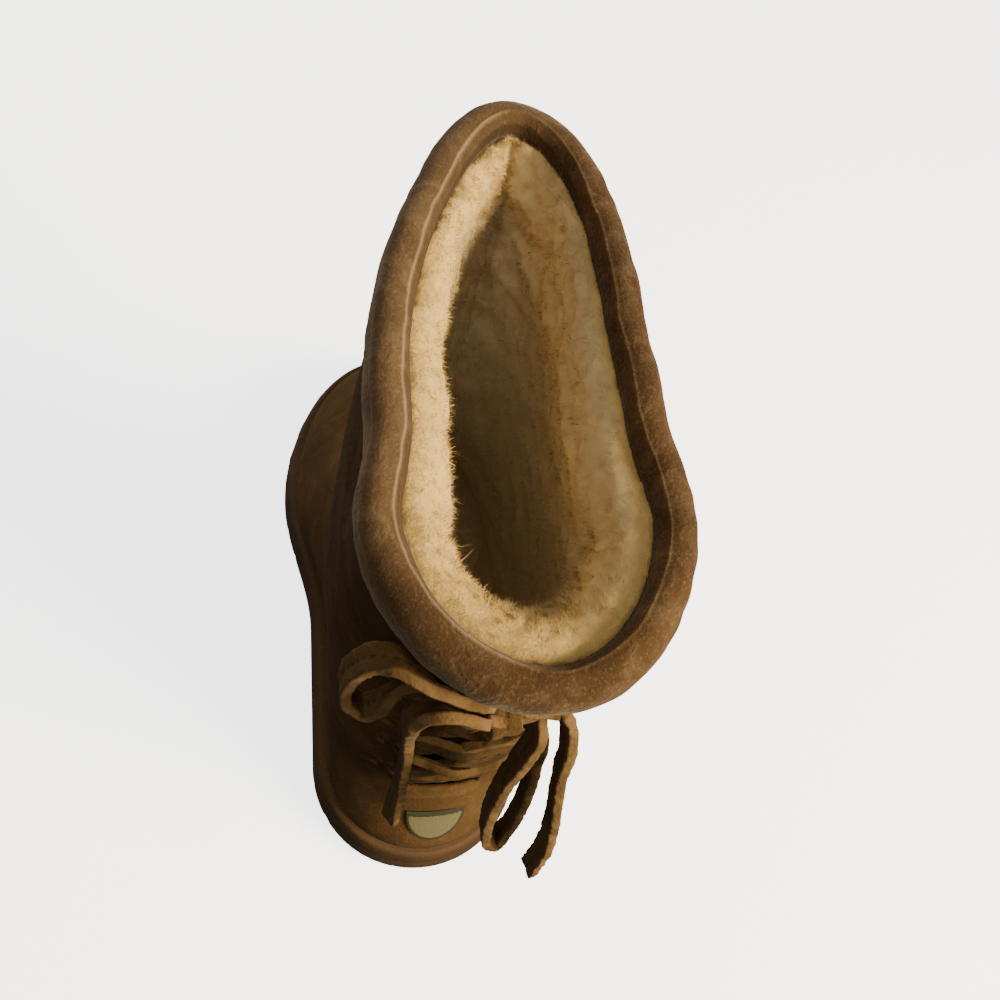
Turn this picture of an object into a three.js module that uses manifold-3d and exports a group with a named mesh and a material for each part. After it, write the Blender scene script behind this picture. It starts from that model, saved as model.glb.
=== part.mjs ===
// Suede boot for a right foot: a wool-lined upper with a bound collar, laced up the back of its shaft,
// on a moulded rubber sole.
// Millimetres, +Z up, toe along +Y, outer side of the foot along +X.
// The shapes are worked out with the rear of the heel at y = 0 and the floor at z = 0, and the whole
// boot is then moved so that the origin is on the floor under the middle of its box.
import * as THREE from "three";
import { mergeVertices } from "three/addons/utils/BufferGeometryUtils.js";
import Module from "manifold-3d";

const wasm = await Module();
wasm.setup();

// Driving dimensions
const GAP = 0.3; // between pieces that meet
const SOLE_LENGTH = 240;
const SOLE_HEEL_HALF = 41.5;
const SOLE_BALL_INNER = 52; // half widths at the ball of the foot
const SOLE_BALL_OUTER = 53;
const SOLE_TOE_SHIFT = -1.5;
const SOLE_TOE_ROUND = 0.3125; // fraction of the length that the toe takes to narrow
const HEEL_HEIGHT = 21;
const BALL_HEIGHT = 16.5;
const SOLE_SLOPE = { from: 55, to: 165 }; // where the sole's top falls from the heel to the ball
const TOE_SPRING = { lift: 8, from: 182, power: 1.8 };
const ARCH = { from: 84, to: 132, lift: 2.4 };
const HEEL_BEVEL = { length: 12, lift: 1.6 };
const LUG_GROOVE = { width: 3.2, depth: 2.6 };
const HEEL_GROOVES = [22, 36, 50, 64];
const FOREFOOT_GROOVES = [138, 151, 164, 177, 190, 204, 218];
const INSOLE_THICK = 7;
const INSOLE_INSET = 16;
const INSOLE_TOE_INSET = 26;
const INSOLE_EDGE = 2; // bevel round its top
const WAIST_START = 0.42; // fraction of a section's length where it begins to widen from heel to ball
const WAIST_LEAST = 0.2; // the least fraction that the widening takes
const SWING_START = 0.5; // fraction where the centre line begins to swing to the inner or outer side
const COLUMNS_ROUND = 46;
const STEPS_PER_SECTION = 2;

// Lacing at the back of the shaft
const LACE_WIDTH = 7;
const LACE_THICK = 2.8;
const LACE_CLEAR = 0.8; // from the suede to the lace's inner face
const BAR_STEPS = 8;
const BOW_STEPS = 24;
const LACING_ROWS = [82, 108, 134, 160, 186]; // heights of the slits
const SLIT_X = 20.5;
const SLIT = { length: 11, width: 2.4, depth: 3.5, tilt: 0.6 }; // tilt in radians, outer end up
const BACK_SLOT = { half: 14, bottom: 66, top: 197, cutFrom: 4, cutTo: -15 };
const BACK_PATCH = { rows: 14, columns: 5 };
const GUSSET = { outside: -2.5, inside: -10.5 }; // distances from the upper's outer face
const KNOT = { height: 191.5, stand: 6.8, x: -3.4, size: [11, 8, 12], columns: 12, rows: 8 };

// Sections of the upper from the sole's edge up to the collar. Each is a closed ring from a point at the
// back of the boot to a point at its front. The halves are half widths at the heel and, on the inner and
// outer side, at the ball. A round is the fraction of the ring's length that its end takes to reach full
// width, a power above 2 makes that end squarer, and follow is how far the ring follows the sole's top.
const SECTION_COLUMNS = [
  "backY", "backZ", "frontY", "frontZ", "frontX", "rearHalf", "innerHalf", "outerHalf",
  "rearRound", "rearPower", "frontRound", "frontPower", "follow", "wall",
];
const SECTION_ROWS = {
  feather: [5, 21.3, 233.5, 23.3, -1.5, 35, 45.5, 46.5, 0.148, 2, 0.325, 2, 1, 7.5],
  wall_low: [5.6, 28, 230, 31, -1.5, 36.8, 47.3, 48.6, 0.155, 2, 0.345, 2, 0.8, 9],
  wall_mid: [9, 37, 224, 40, -1.5, 36.5, 46, 47.4, 0.16, 2.1, 0.38, 2, 0.5, 10],
  toe_top: [13, 47.5, 215.5, 49, -1.5, 36, 43, 44.4, 0.17, 2.2, 0.43, 2, 0.25, 10.5],
  vamp_low: [16.3, 59, 204, 57, -1.5, 36, 40.5, 41.5, 0.18, 2.3, 0.49, 2, 0.08, 10.5],
  vamp_mid: [18.4, 72, 190, 65, -1, 36.5, 39, 40, 0.2, 2.4, 0.54, 2, 0, 10.5],
  vamp_high: [19.6, 87, 173, 76, 0, 37.5, 38.6, 39.6, 0.22, 2.5, 0.58, 2, 0, 10.5],
  instep: [20, 103, 158, 92, 1, 38.5, 39, 40, 0.25, 2.6, 0.6, 2, 0, 10.5],
  ankle: [19.2, 123, 148, 119, 2, 39.5, 39.6, 40, 0.28, 2.6, 0.62, 2, 0, 10.5],
  shaft_low: [17.5, 147, 145, 151, 3.5, 40, 40, 40, 0.3, 2.6, 0.63, 2, 0, 10.5],
  shaft_mid: [14.8, 172, 147.5, 180, 5, 38.6, 39, 38.6, 0.3, 2.5, 0.63, 2, 0, 10.5],
  under_collar: [11.2, 192, 151.2, 203, 6, 37, 36.4, 36.3, 0.29, 2.35, 0.62, 2.04, 0, 10],
  band_edge: [3.8, 207, 154.5, 219, 6.6, 36.7, 34.2, 34.5, 0.295, 2.1, 0.6, 2.08, 0, 8.5],
  collar: [-2.4, 224, 157.6, 235.5, 7.2, 36.3, 31.7, 33, 0.295, 1.97, 0.585, 2.12, 0, 5.2],
};
const SECTIONS = Object.values(SECTION_ROWS);
const TOP = SECTIONS.length - 1;

// Folded binding round the collar
const BINDING = { thick: 1.8, outsideReach: 0.5, insideReach: 0.25, rise: 4.2, crownSteps: 6 };

const SUEDE = { color: 0x86592f, roughness: 0.95, metalness: 0 };
const DARK_SUEDE = { color: 0x5a3a1e, roughness: 0.95, metalness: 0 };
const WOOL = { color: 0xdcc59a, roughness: 1, metalness: 0 };
const RUBBER = { color: 0x6b4526, roughness: 0.8, metalness: 0 };

const { lerp, clamp, smoothstep } = THREE.MathUtils;

// A value on the Catmull-Rom curve through one column of the section table.
function columnAt(column, t) {
  const index = SECTION_COLUMNS.indexOf(column);
  const row = Math.min(Math.floor(t), TOP - 1);
  const [a, b, c, d] = [row - 1, row, row + 1, row + 2].map((r) => SECTIONS[clamp(r, 0, TOP)][index]);
  const x = t - row;
  return b + 0.5 * x * (c - a + x * (2 * a - 5 * b + 4 * c - d + x * (3 * (b - c) + d - a)));
}

function sectionAt(t) {
  return Object.fromEntries(SECTION_COLUMNS.map((column) => [column, columnAt(column, t)]));
}

// Heights of the sole's lower and upper face along the foot.
function toeLift(y) {
  const place = clamp((y - TOE_SPRING.from) / (SOLE_LENGTH - TOE_SPRING.from), 0, 1);
  return TOE_SPRING.lift * place ** TOE_SPRING.power;
}

function soleTop(y) {
  const fall = smoothstep(y, SOLE_SLOPE.from, SOLE_SLOPE.to);
  return lerp(HEEL_HEIGHT, BALL_HEIGHT, fall) + toeLift(y);
}

function soleBottom(y) {
  const archPlace = clamp((y - ARCH.from) / (ARCH.to - ARCH.from), 0, 1);
  const arch = ARCH.lift * Math.sin(Math.PI * archPlace) ** 2;
  const bevel = HEEL_BEVEL.lift * clamp(1 - y / HEEL_BEVEL.length, 0, 1) ** 2;
  return arch + bevel + toeLift(y);
}

// Place along a ring, 0 at the back and 1 at the front, for a turn u that goes 0 to 1 round it.
const alongRing = (u) => (1 - Math.cos(2 * Math.PI * u)) / 2;

// Half width of a round end, from 1 where it starts to 0 at its tip: a circle for a power of 2.
const roundEnd = (place, power) => (1 - place ** power) ** (1 / power);

// Plan outline of a ring: a round end at the back, a widening waist and a round end at the front.
// The turn runs from the back along the outer side to the front and home along the inner side.
function outline(section, u) {
  const turn = u - Math.floor(u);
  const s = alongRing(turn);
  const outer = turn <= 0.5;
  const frontStart = 1 - section.frontRound;
  const widening = smoothstep(s, Math.min(WAIST_START, frontStart - WAIST_LEAST), frontStart);
  const half = lerp(section.rearHalf, outer ? section.outerHalf : section.innerHalf, widening);
  const rear = clamp(1 - s / section.rearRound, 0, 1);
  const front = clamp((s - frontStart) / section.frontRound, 0, 1);
  const ends = roundEnd(rear, section.rearPower) * roundEnd(front, section.frontPower);
  const centre = section.frontX * smoothstep(s, SWING_START, 1);
  return { x: centre + (outer ? 1 : -1) * half * ends, y: lerp(section.backY, section.frontY, s), s };
}

// Outer face of the upper at turn u and height t, counted in sections.
function skin(u, t) {
  const section = sectionAt(t);
  const { x, y, s } = outline(section, u);
  const straight = lerp(soleTop(section.backY), soleTop(section.frontY), s);
  const z = lerp(section.backZ, section.frontZ, s) + section.follow * (soleTop(y) - straight);
  return new THREE.Vector3(x, y, z);
}

// A point at a distance outside the upper's outer face, along its normal.
function offSkin(u, t, distance) {
  const turnStep = 0.004;
  const heightStep = 0.02;
  const round = skin(u + turnStep, t).sub(skin(u - turnStep, t));
  const up = skin(u, Math.min(t + heightStep, TOP)).sub(skin(u, Math.max(t - heightStep, 0)));
  return skin(u, t).addScaledVector(round.cross(up).normalize(), distance);
}

function bisect(value, target, low, high) {
  for (let step = 0; step < 40; step += 1) {
    const middle = (low + high) / 2;
    if (value(middle) < target) low = middle;
    else high = middle;
  }
  return (low + high) / 2;
}

// A point off the back of the shaft, given by its sideways place and height on the skin.
function offBack(x, z, distance) {
  const t = bisect((height) => columnAt("backZ", height), z, 0, TOP);
  const u = bisect((turn) => outline(sectionAt(t), turn + 1).x, x, -0.2, 0.2);
  return offSkin(u, t, distance);
}

const steps = (count) => Array.from({ length: count }, (_, index) => index);
const turns = steps(COLUMNS_ROUND).map((index) => index / COLUMNS_ROUND);
const spread = (from, to, count) => steps(count).map((index) => lerp(from, to, index / (count - 1)));

function volumeOf(points, triangles) {
  const cross = new THREE.Vector3();
  const box = ([a, b, c]) => cross.crossVectors(points[b], points[c]).dot(points[a]);
  return triangles.reduce((sum, triangle) => sum + box(triangle), 0);
}

function geometryOf(points, triangles) {
  const outward = volumeOf(points, triangles) > 0 ? triangles : triangles.map(([a, b, c]) => [a, c, b]);
  const geometry = new THREE.BufferGeometry().setFromPoints(points);
  geometry.setIndex(outward.flat());
  return geometry;
}

const quad = (a, b, c, d) => [[a, b, c], [a, c, d]];

// Faces between rows of points; a row or the stack of rows may close on itself.
function gridFaces(rows, columns, closeRows, closeColumns) {
  const faces = [];
  for (let r = 0; r < (closeRows ? rows : rows - 1); r += 1) {
    for (let c = 0; c < (closeColumns ? columns : columns - 1); c += 1) {
      const thisRow = r * columns;
      const nextRow = ((r + 1) % rows) * columns;
      const nextColumn = (c + 1) % columns;
      faces.push(...quad(thisRow + c, thisRow + nextColumn, nextRow + nextColumn, nextRow + c));
    }
  }
  return faces;
}

// A closed ring of rings, such as a wall with an outer and an inner face.
function hollowSolid(rings) {
  return geometryOf(rings.flat(), gridFaces(rings.length, rings[0].length, true, true));
}

// A stack of rings closed at both ends by strips from side to side.
function stackSolid(rings) {
  const columns = rings[0].length;
  const faces = gridFaces(rings.length, columns, false, true);
  const strip = (base) =>
    steps(columns / 2).flatMap((i) => {
      const [a, b] = [i, i + 1];
      const [c, d] = [(columns - b) % columns, (columns - a) % columns];
      return quad(base + a, base + b, base + c, base + d).filter((face) => new Set(face).size === 3);
    });
  const top = strip((rings.length - 1) * columns);
  const bottom = strip(0).map(([a, b, c]) => [a, c, b]);
  return geometryOf(rings.flat(), [...faces, ...top, ...bottom]);
}

// A plate between an outer and an inner grid of points of the same size.
function plateSolid(outerRows, innerRows) {
  const loops = outerRows.map((row, index) => [...row, ...innerRows[index].slice().reverse()]);
  const columns = loops[0].length;
  const half = columns / 2;
  const faces = gridFaces(loops.length, columns, false, true);
  const end = (base) =>
    steps(half - 1).flatMap((i) => {
      const across = base + columns - 1 - i;
      return quad(base + i, base + i + 1, across - 1, across);
    });
  const last = (loops.length - 1) * columns;
  const lowEnd = end(0).map(([a, b, c]) => [a, c, b]);
  return geometryOf(loops.flat(), [...faces, ...end(last), ...lowEnd]);
}

function manifoldOf(geometry) {
  const plain = geometry.clone();
  plain.deleteAttribute("normal");
  plain.deleteAttribute("uv");
  const merged = mergeVertices(plain, 1e-4);
  return new wasm.Manifold(
    new wasm.Mesh({
      numProp: 3,
      vertProperties: new Float32Array(merged.attributes.position.array),
      triVerts: new Uint32Array(merged.index.array),
    }),
  );
}

function geometryFrom(solid) {
  const mesh = solid.getMesh();
  const geometry = new THREE.BufferGeometry();
  geometry.setAttribute("position", new THREE.BufferAttribute(new Float32Array(mesh.vertProperties), 3));
  geometry.setIndex(Array.from(mesh.triVerts));
  return geometry;
}

function cut(geometry, cutters) {
  const whole = manifoldOf(geometry);
  return geometryFrom(cutters.reduce((solid, cutter) => solid.subtract(manifoldOf(cutter)), whole));
}

function join(geometries) {
  return geometryFrom(geometries.map(manifoldOf).reduce((solid, next) => solid.add(next)));
}

// The sole: a stack of outlines that flares below its top ledge, with straight grooves across its lugs.
function soleOutline(inset) {
  const length = SOLE_LENGTH - 2 * inset;
  return {
    backY: inset,
    frontY: SOLE_LENGTH - inset,
    frontX: SOLE_TOE_SHIFT,
    rearHalf: SOLE_HEEL_HALF - inset,
    innerHalf: SOLE_BALL_INNER - inset,
    outerHalf: SOLE_BALL_OUTER - inset,
    rearRound: (SOLE_HEEL_HALF - inset) / length,
    rearPower: 2,
    frontRound: SOLE_TOE_ROUND,
    frontPower: 2,
  };
}

function planRing(section, heightAt) {
  return turns.map((u) => {
    const { x, y } = outline(section, u);
    return new THREE.Vector3(x, y, heightAt(y));
  });
}

const SOLE_WALL = [
  { level: 0, inset: 3 },
  { level: 0.1, inset: 1 },
  { level: 0.3, inset: 0 },
  { level: 0.75, inset: 1.4 },
  { level: 0.93, inset: 2.2 },
  { level: 1, inset: 3.6 },
];

function outsole() {
  const rings = SOLE_WALL.map(({ level, inset }) =>
    planRing(soleOutline(inset), (y) => lerp(soleBottom(y), soleTop(y), level)));
  const grooves = [...HEEL_GROOVES, ...FOREFOOT_GROOVES].map((y) => {
    const height = 2 * LUG_GROOVE.depth;
    const groove = new THREE.BoxGeometry(3 * SOLE_BALL_OUTER, LUG_GROOVE.width, height);
    return groove.translate(0, y, soleBottom(y));
  });
  return cut(stackSolid(rings), grooves);
}

function insole() {
  const floor = (y) => soleTop(y) + GAP;
  const edge = (inset) => ({
    ...soleOutline(INSOLE_INSET + inset),
    frontY: SOLE_LENGTH - INSOLE_TOE_INSET - inset,
  });
  return stackSolid([
    planRing(edge(0), floor),
    planRing(edge(0), (y) => floor(y) + INSOLE_THICK - INSOLE_EDGE),
    planRing(edge(INSOLE_EDGE), (y) => floor(y) + INSOLE_THICK),
  ]);
}

// The upper: its outer face, its wool face a wall's thickness inside, a slot down the back and slits.
function backPatch(half, bottom, top, distance) {
  const places = spread(-half, half, BACK_PATCH.columns);
  return spread(bottom, top, BACK_PATCH.rows).map((z) => places.map((x) => offBack(x, z, distance)));
}

function slitCutter(x, z) {
  const place = offBack(x, z, 0);
  const out = offBack(x, z, 1).sub(place).normalize();
  const side = new THREE.Vector3(0, 0, 1).cross(out).normalize();
  side.applyAxisAngle(out, Math.sign(x) * SLIT.tilt);
  const turn = new THREE.Matrix4().makeBasis(side, out, side.clone().cross(out)).setPosition(place);
  return new THREE.BoxGeometry(SLIT.length, 2 * SLIT.depth, SLIT.width).applyMatrix4(turn);
}

function wallInside(u, t) {
  const point = offSkin(u, t, -columnAt("wall", t));
  point.z = Math.max(point.z, soleTop(point.y) + GAP);
  return point;
}

function upper() {
  const heights = spread(0, TOP, TOP * STEPS_PER_SECTION + 1);
  const outside = heights.map((t) => turns.map((u) => skin(u, t)));
  const inside = heights.map((t) => turns.map((u) => wallInside(u, t))).reverse();
  const { half, bottom, top, cutFrom, cutTo } = BACK_SLOT;
  const slot = plateSolid(backPatch(half, bottom, top, cutFrom), backPatch(half, bottom, top, cutTo));
  const slits = LACING_ROWS.flatMap((z) => [slitCutter(-SLIT_X, z), slitCutter(SLIT_X, z)]);
  return cut(hollowSolid([...outside, ...inside]), [slot, ...slits]);
}

function backGusset() {
  const half = BACK_SLOT.half - GAP;
  const [bottom, top] = [BACK_SLOT.bottom + GAP, BACK_SLOT.top - GAP];
  return plateSolid(
    backPatch(half, bottom, top, GUSSET.outside),
    backPatch(half, bottom, top, GUSSET.inside),
  );
}

// The binding is folded over the top of the wall: its section, as sections up, distance out and rise.
function collarBinding() {
  const wall = columnAt("wall", TOP);
  const [outsideLow, insideLow] = [TOP - BINDING.outsideReach, TOP - BINDING.insideReach];
  const out = GAP + BINDING.thick;
  const inLow = -columnAt("wall", insideLow) - 2 * GAP;
  const inTop = -wall - GAP;
  const middle = -wall / 2;
  const reach = wall / 2 + out;
  const crown = spread(0, Math.PI, BINDING.crownSteps).map((angle) =>
    [TOP, middle + reach * Math.cos(angle), BINDING.rise * Math.sin(angle)]);
  const section = [
    [outsideLow, GAP, 0],
    [outsideLow, out, 0],
    [(outsideLow + TOP) / 2, out, 0],
    ...crown,
    [insideLow, inLow - BINDING.thick, 0],
    [insideLow, inLow, 0],
    [TOP, inTop, 0],
    [TOP, inTop, GAP],
    [TOP, middle, BINDING.rise - BINDING.thick],
    [TOP, GAP, GAP],
    [(outsideLow + TOP) / 2, GAP, 0],
  ];
  const up = new THREE.Vector3(0, 0, 1);
  return hollowSolid(section.map(([t, distance, rise]) =>
    turns.map((u) => offSkin(u, t, distance).addScaledVector(up, rise))));
}

// A flat strip along a route. The width vectors say which way its broad side lies at even places from one
// end to the other, and the section's corners are fractions of the lace's width and thickness.
const ROUNDED = [
  [-0.5, -0.3], [-0.4, -0.5], [0.4, -0.5], [0.5, -0.3],
  [0.5, 0.3], [0.4, 0.5], [-0.4, 0.5], [-0.5, 0.3],
];
const SQUARE = [[-0.5, -0.5], [0.5, -0.5], [0.5, 0.5], [-0.5, 0.5]];

function strip(points, widths, count, section) {
  const corners = points.map((point) => new THREE.Vector3(...point));
  const route = new THREE.CatmullRomCurve3(corners, false, "centripetal");
  const rings = spread(0, 1, count).map((place) => {
    const centre = route.getPointAt(place);
    const ahead = route.getTangentAt(place);
    const turned = place * (widths.length - 1);
    const from = Math.min(Math.floor(turned), widths.length - 2);
    const [before, after] = [widths[from], widths[from + 1]].map((width) => new THREE.Vector3(...width));
    const wide = before.lerp(after, turned - from);
    wide.addScaledVector(ahead, -wide.dot(ahead)).normalize();
    const thick = ahead.clone().cross(wide);
    return section.map(([a, b]) =>
      centre.clone().addScaledVector(wide, a * LACE_WIDTH).addScaledVector(thick, b * LACE_THICK));
  });
  return stackSolid(rings);
}

// Lacing: strips that cross from slit to slit up the back, with a bar at the bottom and one at the top.
function laceBar(fromX, fromZ, toX, toZ) {
  const out = LACE_CLEAR + LACE_THICK / 2;
  const heights = spread(fromZ, toZ, BAR_STEPS);
  const points = spread(fromX, toX, BAR_STEPS).map((x, index) => offBack(x, heights[index], out));
  const upWall = (x, z) => offBack(x, z + 1, 0).sub(offBack(x, z - 1, 0));
  return strip(points, [upWall(fromX, fromZ), upWall(toX, toZ)], BAR_STEPS, SQUARE);
}

function laceCrossings() {
  const crosses = LACING_ROWS.slice(1).flatMap((high, index) => {
    const low = LACING_ROWS[index];
    return [laceBar(-SLIT_X, low, SLIT_X, high), laceBar(SLIT_X, low, -SLIT_X, high)];
  });
  const ends = [LACING_ROWS[0], LACING_ROWS.at(-1)].map((z) => laceBar(-SLIT_X, z, SLIT_X, z));
  return join([...ends, ...crosses]);
}

// The bow: a knot, two loops and two ends that hang free. Routes are lists of x, y, z.
function laceKnot() {
  const [wide, deep, high] = KNOT.size;
  const centre = offBack(KNOT.x, KNOT.height, KNOT.stand);
  const ball = new THREE.SphereGeometry(0.5, KNOT.columns, KNOT.rows);
  return ball.scale(wide, deep, high).translate(centre.x, centre.y, centre.z);
}

const LACE_ROUTES = {
  lace_loop_left: {
    points: [
      [-8.6, 3.9, 199.4], [-12, 3.9, 204.6], [-16.4, 4.3, 207.8], [-20.8, 5.8, 210.6],
      [-25.2, 8, 213.4], [-29.6, 10.9, 215], [-34, 13, 211.4], [-37.4, 14.2, 203], [-38.8, 14.5, 192.5],
      [-37.6, 14, 183], [-34.2, 12.8, 179.4], [-30.8, 12, 184], [-27.8, 11.6, 191.6],
      [-23.6, 10.7, 197.2], [-17, 9.2, 196.2], [-9.8, 6.8, 190.5],
    ],
    widths: [
      [0, -0.25, 0.97], [0, -0.35, 0.94], [0, -0.97, 0.2], [0, -1, 0.1], [0, -1, 0.1], [0, -0.8, 0.5],
      [0, -0.2, 1], [0, 0.1, 1],
    ],
  },
  lace_loop_right: {
    points: [
      [4, 6.2, 194.6], [4.4, 4.3, 191], [5.4, 3.4, 187.9], [6, 2.2, 183.3], [4.8, 0.2, 172.9],
      [3.1, -1.8, 160.9], [2.3, -3.9, 146.8], [4.1, -5.5, 124], [7.3, -6.3, 105], [12.5, -5.4, 93.5],
      [15.6, -2.4, 104.5], [15.2, 0, 126], [13.4, 3, 149.2], [10.8, 5.8, 167.4], [7.2, 7.2, 176.6],
      [3, 7.4, 181.5],
    ],
    widths: [
      [0.37, -0.69, 0.61], [-0.05, -0.98, 0.18], [-0.05, -0.98, 0.18], [-0.05, -0.98, 0.18],
      [-0.05, -0.98, 0.18], [-0.05, -0.98, 0.18], [-0.05, -0.98, 0.18], [-0.05, -0.98, 0.18],
      [0.9, -0.2, 0.3],
    ],
  },
  lace_end_left: {
    points: [
      [-11.8, -0.2, 205], [-16.4, 0.1, 209], [-20.4, 1, 208.4], [-23.6, 2.6, 202.8], [-24.8, 4.3, 194],
      [-24, 6.6, 182], [-21.8, 9.2, 163], [-19.4, 11.6, 139], [-17.6, 12.8, 111], [-16.8, 12.7, 89],
      [-16.8, 11.3, 70.5], [-16.4, 10.2, 57.5],
    ],
    widths: [
      [0, -0.22, 0.97], [0, -1, 0], [0, -1, 0], [0.5, -0.8, 0],
    ],
  },
  lace_end_right: {
    points: [
      [6.8, 3.6, 201], [8.8, 3.7, 197.6], [11, 3.6, 193], [13.1, 2.5, 187.4], [14.2, -0.2, 181.3],
      [15.3, -2.4, 168.8], [17.3, -6, 153.6], [20.2, -9.5, 134.4], [22.6, -12, 114.2],
      [24.4, -13.5, 84.6],
    ],
    widths: [
      [0.37, -0.69, 0.61], [-0.1, -0.97, 0.16], [0, -0.97, 0.17], [0.1, -0.96, 0.18],
      [0.19, -0.96, 0.18],
    ],
  },
};

const boot = new THREE.Group();
function add(name, geometry, finish) {
  const mesh = new THREE.Mesh(geometry, new THREE.MeshStandardMaterial(finish));
  mesh.name = name;
  boot.add(mesh);
  return mesh;
}

const body = [
  add("outsole", outsole(), RUBBER),
  add("insole", insole(), WOOL),
  add("upper", upper(), SUEDE),
  add("back_gusset", backGusset(), DARK_SUEDE),
  add("collar_binding", collarBinding(), SUEDE),
  add("lace_crossings", laceCrossings(), SUEDE),
];
add("lace_knot", laceKnot(), SUEDE);
for (const [name, { points, widths }] of Object.entries(LACE_ROUTES)) {
  add(name, strip(points, widths, BOW_STEPS, ROUNDED), SUEDE);
}

const box = new THREE.Box3();
body.forEach((mesh) => box.expandByObject(mesh));
const middle = box.getCenter(new THREE.Vector3());
boot.position.set(-middle.x, -middle.y, -box.min.z);

export default boot;
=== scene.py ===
# %% [markdown]
# # A suede boot with a wool lining, laced up its back
#
# The boot is cut from sheepskin: chestnut suede outside, cream wool inside. A folded strip binds the
# collar, and a flat suede lace closes a gap in the back of the shaft. This lesson builds what the eye sees
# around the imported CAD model, which is loaded first and never moved. Shapes are drawn in millimetres, as a
# shoemaker draws them: the back of the heel at y = 0, the floor at z = 0, the toe along +Y and the outer
# side of the foot along +X.

import bpy
import numpy as np
from mathutils import Matrix, Vector


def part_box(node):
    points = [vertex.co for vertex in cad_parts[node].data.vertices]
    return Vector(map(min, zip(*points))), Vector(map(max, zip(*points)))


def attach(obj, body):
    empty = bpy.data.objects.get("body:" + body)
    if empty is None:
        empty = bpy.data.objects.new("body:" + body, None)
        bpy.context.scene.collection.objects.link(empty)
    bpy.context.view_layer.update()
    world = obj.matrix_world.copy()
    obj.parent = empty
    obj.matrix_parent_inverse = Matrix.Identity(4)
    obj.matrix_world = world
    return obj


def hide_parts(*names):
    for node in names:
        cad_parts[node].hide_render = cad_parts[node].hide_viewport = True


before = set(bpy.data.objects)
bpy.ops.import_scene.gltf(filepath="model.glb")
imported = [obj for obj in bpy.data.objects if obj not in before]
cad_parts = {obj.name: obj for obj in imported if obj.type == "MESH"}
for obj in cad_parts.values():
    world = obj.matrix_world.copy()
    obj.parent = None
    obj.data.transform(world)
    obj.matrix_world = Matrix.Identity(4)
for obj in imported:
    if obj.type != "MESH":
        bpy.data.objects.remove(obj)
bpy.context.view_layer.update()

# %% [markdown]
# ## From drawing to frame
#
# The frame's origin lies under the middle of the boot, so a drawing point has to be moved before it is
# turned into metres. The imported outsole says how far: its lowest y is the back of the heel, and its two
# sides give the middle.

# %% Drawing to frame
MM = 0.001
BALL_INNER = 52.0
BALL_OUTER = 53.0
sole_low, sole_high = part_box("outsole")
middle_x = (sole_low.x + sole_high.x) / 2 / MM - (BALL_OUTER - BALL_INNER) / 2
SHIFT = np.array([middle_x, sole_low.y / MM, 0.0])


def to_frame(points):
    """Drawing points in millimetres, moved to the frame's origin and turned into metres."""
    return (np.asarray(points, float) + SHIFT) * MM


print("the drawing is moved by", SHIFT.round(2), "mm")

# %% [markdown]
# ## The last
#
# A shoemaker shapes the upper over a last. It could be sculpted by eye, but then this lesson and the CAD
# model would drift apart, so here the last is a table of closed rings from the sole's edge to the collar.
# Each ring runs from a point at the back of the boot to a point at its front and has a half width at the
# heel and at the ball. Between the rings every column follows a Catmull-Rom curve, so a point of the skin
# is a function of two parameters: the turn u round the ring and the height t, counted in rings.

# %% The table of rings
RING_COLUMNS = (
    "back_y", "back_z", "front_y", "front_z", "front_x", "rear_half", "inner_half", "outer_half",
    "rear_round", "rear_power", "front_round", "front_power", "follow",
)
RINGS = np.array([
    [5, 21.3, 233.5, 23.3, -1.5, 35, 45.5, 46.5, 0.148, 2, 0.325, 2, 1],
    [5.6, 28, 230, 31, -1.5, 36.8, 47.3, 48.6, 0.155, 2, 0.345, 2, 0.8],
    [9, 37, 224, 40, -1.5, 36.5, 46, 47.4, 0.16, 2.1, 0.38, 2, 0.5],
    [13, 47.5, 215.5, 49, -1.5, 36, 43, 44.4, 0.17, 2.2, 0.43, 2, 0.25],
    [16.3, 59, 204, 57, -1.5, 36, 40.5, 41.5, 0.18, 2.3, 0.49, 2, 0.08],
    [18.4, 72, 190, 65, -1, 36.5, 39, 40, 0.2, 2.4, 0.54, 2, 0],
    [19.6, 87, 173, 76, 0, 37.5, 38.6, 39.6, 0.22, 2.5, 0.58, 2, 0],
    [20, 103, 158, 92, 1, 38.5, 39, 40, 0.25, 2.6, 0.6, 2, 0],
    [19.2, 123, 148, 119, 2, 39.5, 39.6, 40, 0.28, 2.6, 0.62, 2, 0],
    [17.5, 147, 145, 151, 3.5, 40, 40, 40, 0.3, 2.6, 0.63, 2, 0],
    [14.8, 172, 147.5, 180, 5, 38.6, 39, 38.6, 0.3, 2.5, 0.63, 2, 0],
    [11.2, 192, 151.2, 203, 6, 37, 36.4, 36.3, 0.29, 2.35, 0.62, 2.04, 0],
    [3.8, 207, 154.5, 219, 6.6, 36.7, 34.2, 34.5, 0.295, 2.1, 0.6, 2.08, 0],
    [-2.4, 224, 157.6, 235.5, 7.2, 36.3, 31.7, 33, 0.295, 1.97, 0.585, 2.12, 0],
])
TOP = len(RINGS) - 1
SOLE_LENGTH = 240.0
HEEL_HEIGHT = 21.0
BALL_HEIGHT = 16.5
SLOPE_FROM, SLOPE_TO = 55.0, 165.0
TOE_LIFT, TOE_FROM, TOE_POWER = 8.0, 182.0, 1.8
WAIST_START, WAIST_LEAST, SWING_START = 0.42, 0.2, 0.5


def mix(a, b, place):
    """The value at a place from 0, which is a, to 1, which is b."""
    return a + (b - a) * place


def ease(value, low, high):
    """0 below low, 1 above high and an S curve between them."""
    place = np.clip((value - low) / (high - low), 0, 1)
    return place * place * (3 - 2 * place)


def hump(value, centre, width):
    """1 at the centre, falling away to both sides as a bell curve."""
    return np.exp(-(((value - centre) / width) ** 2))


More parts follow.
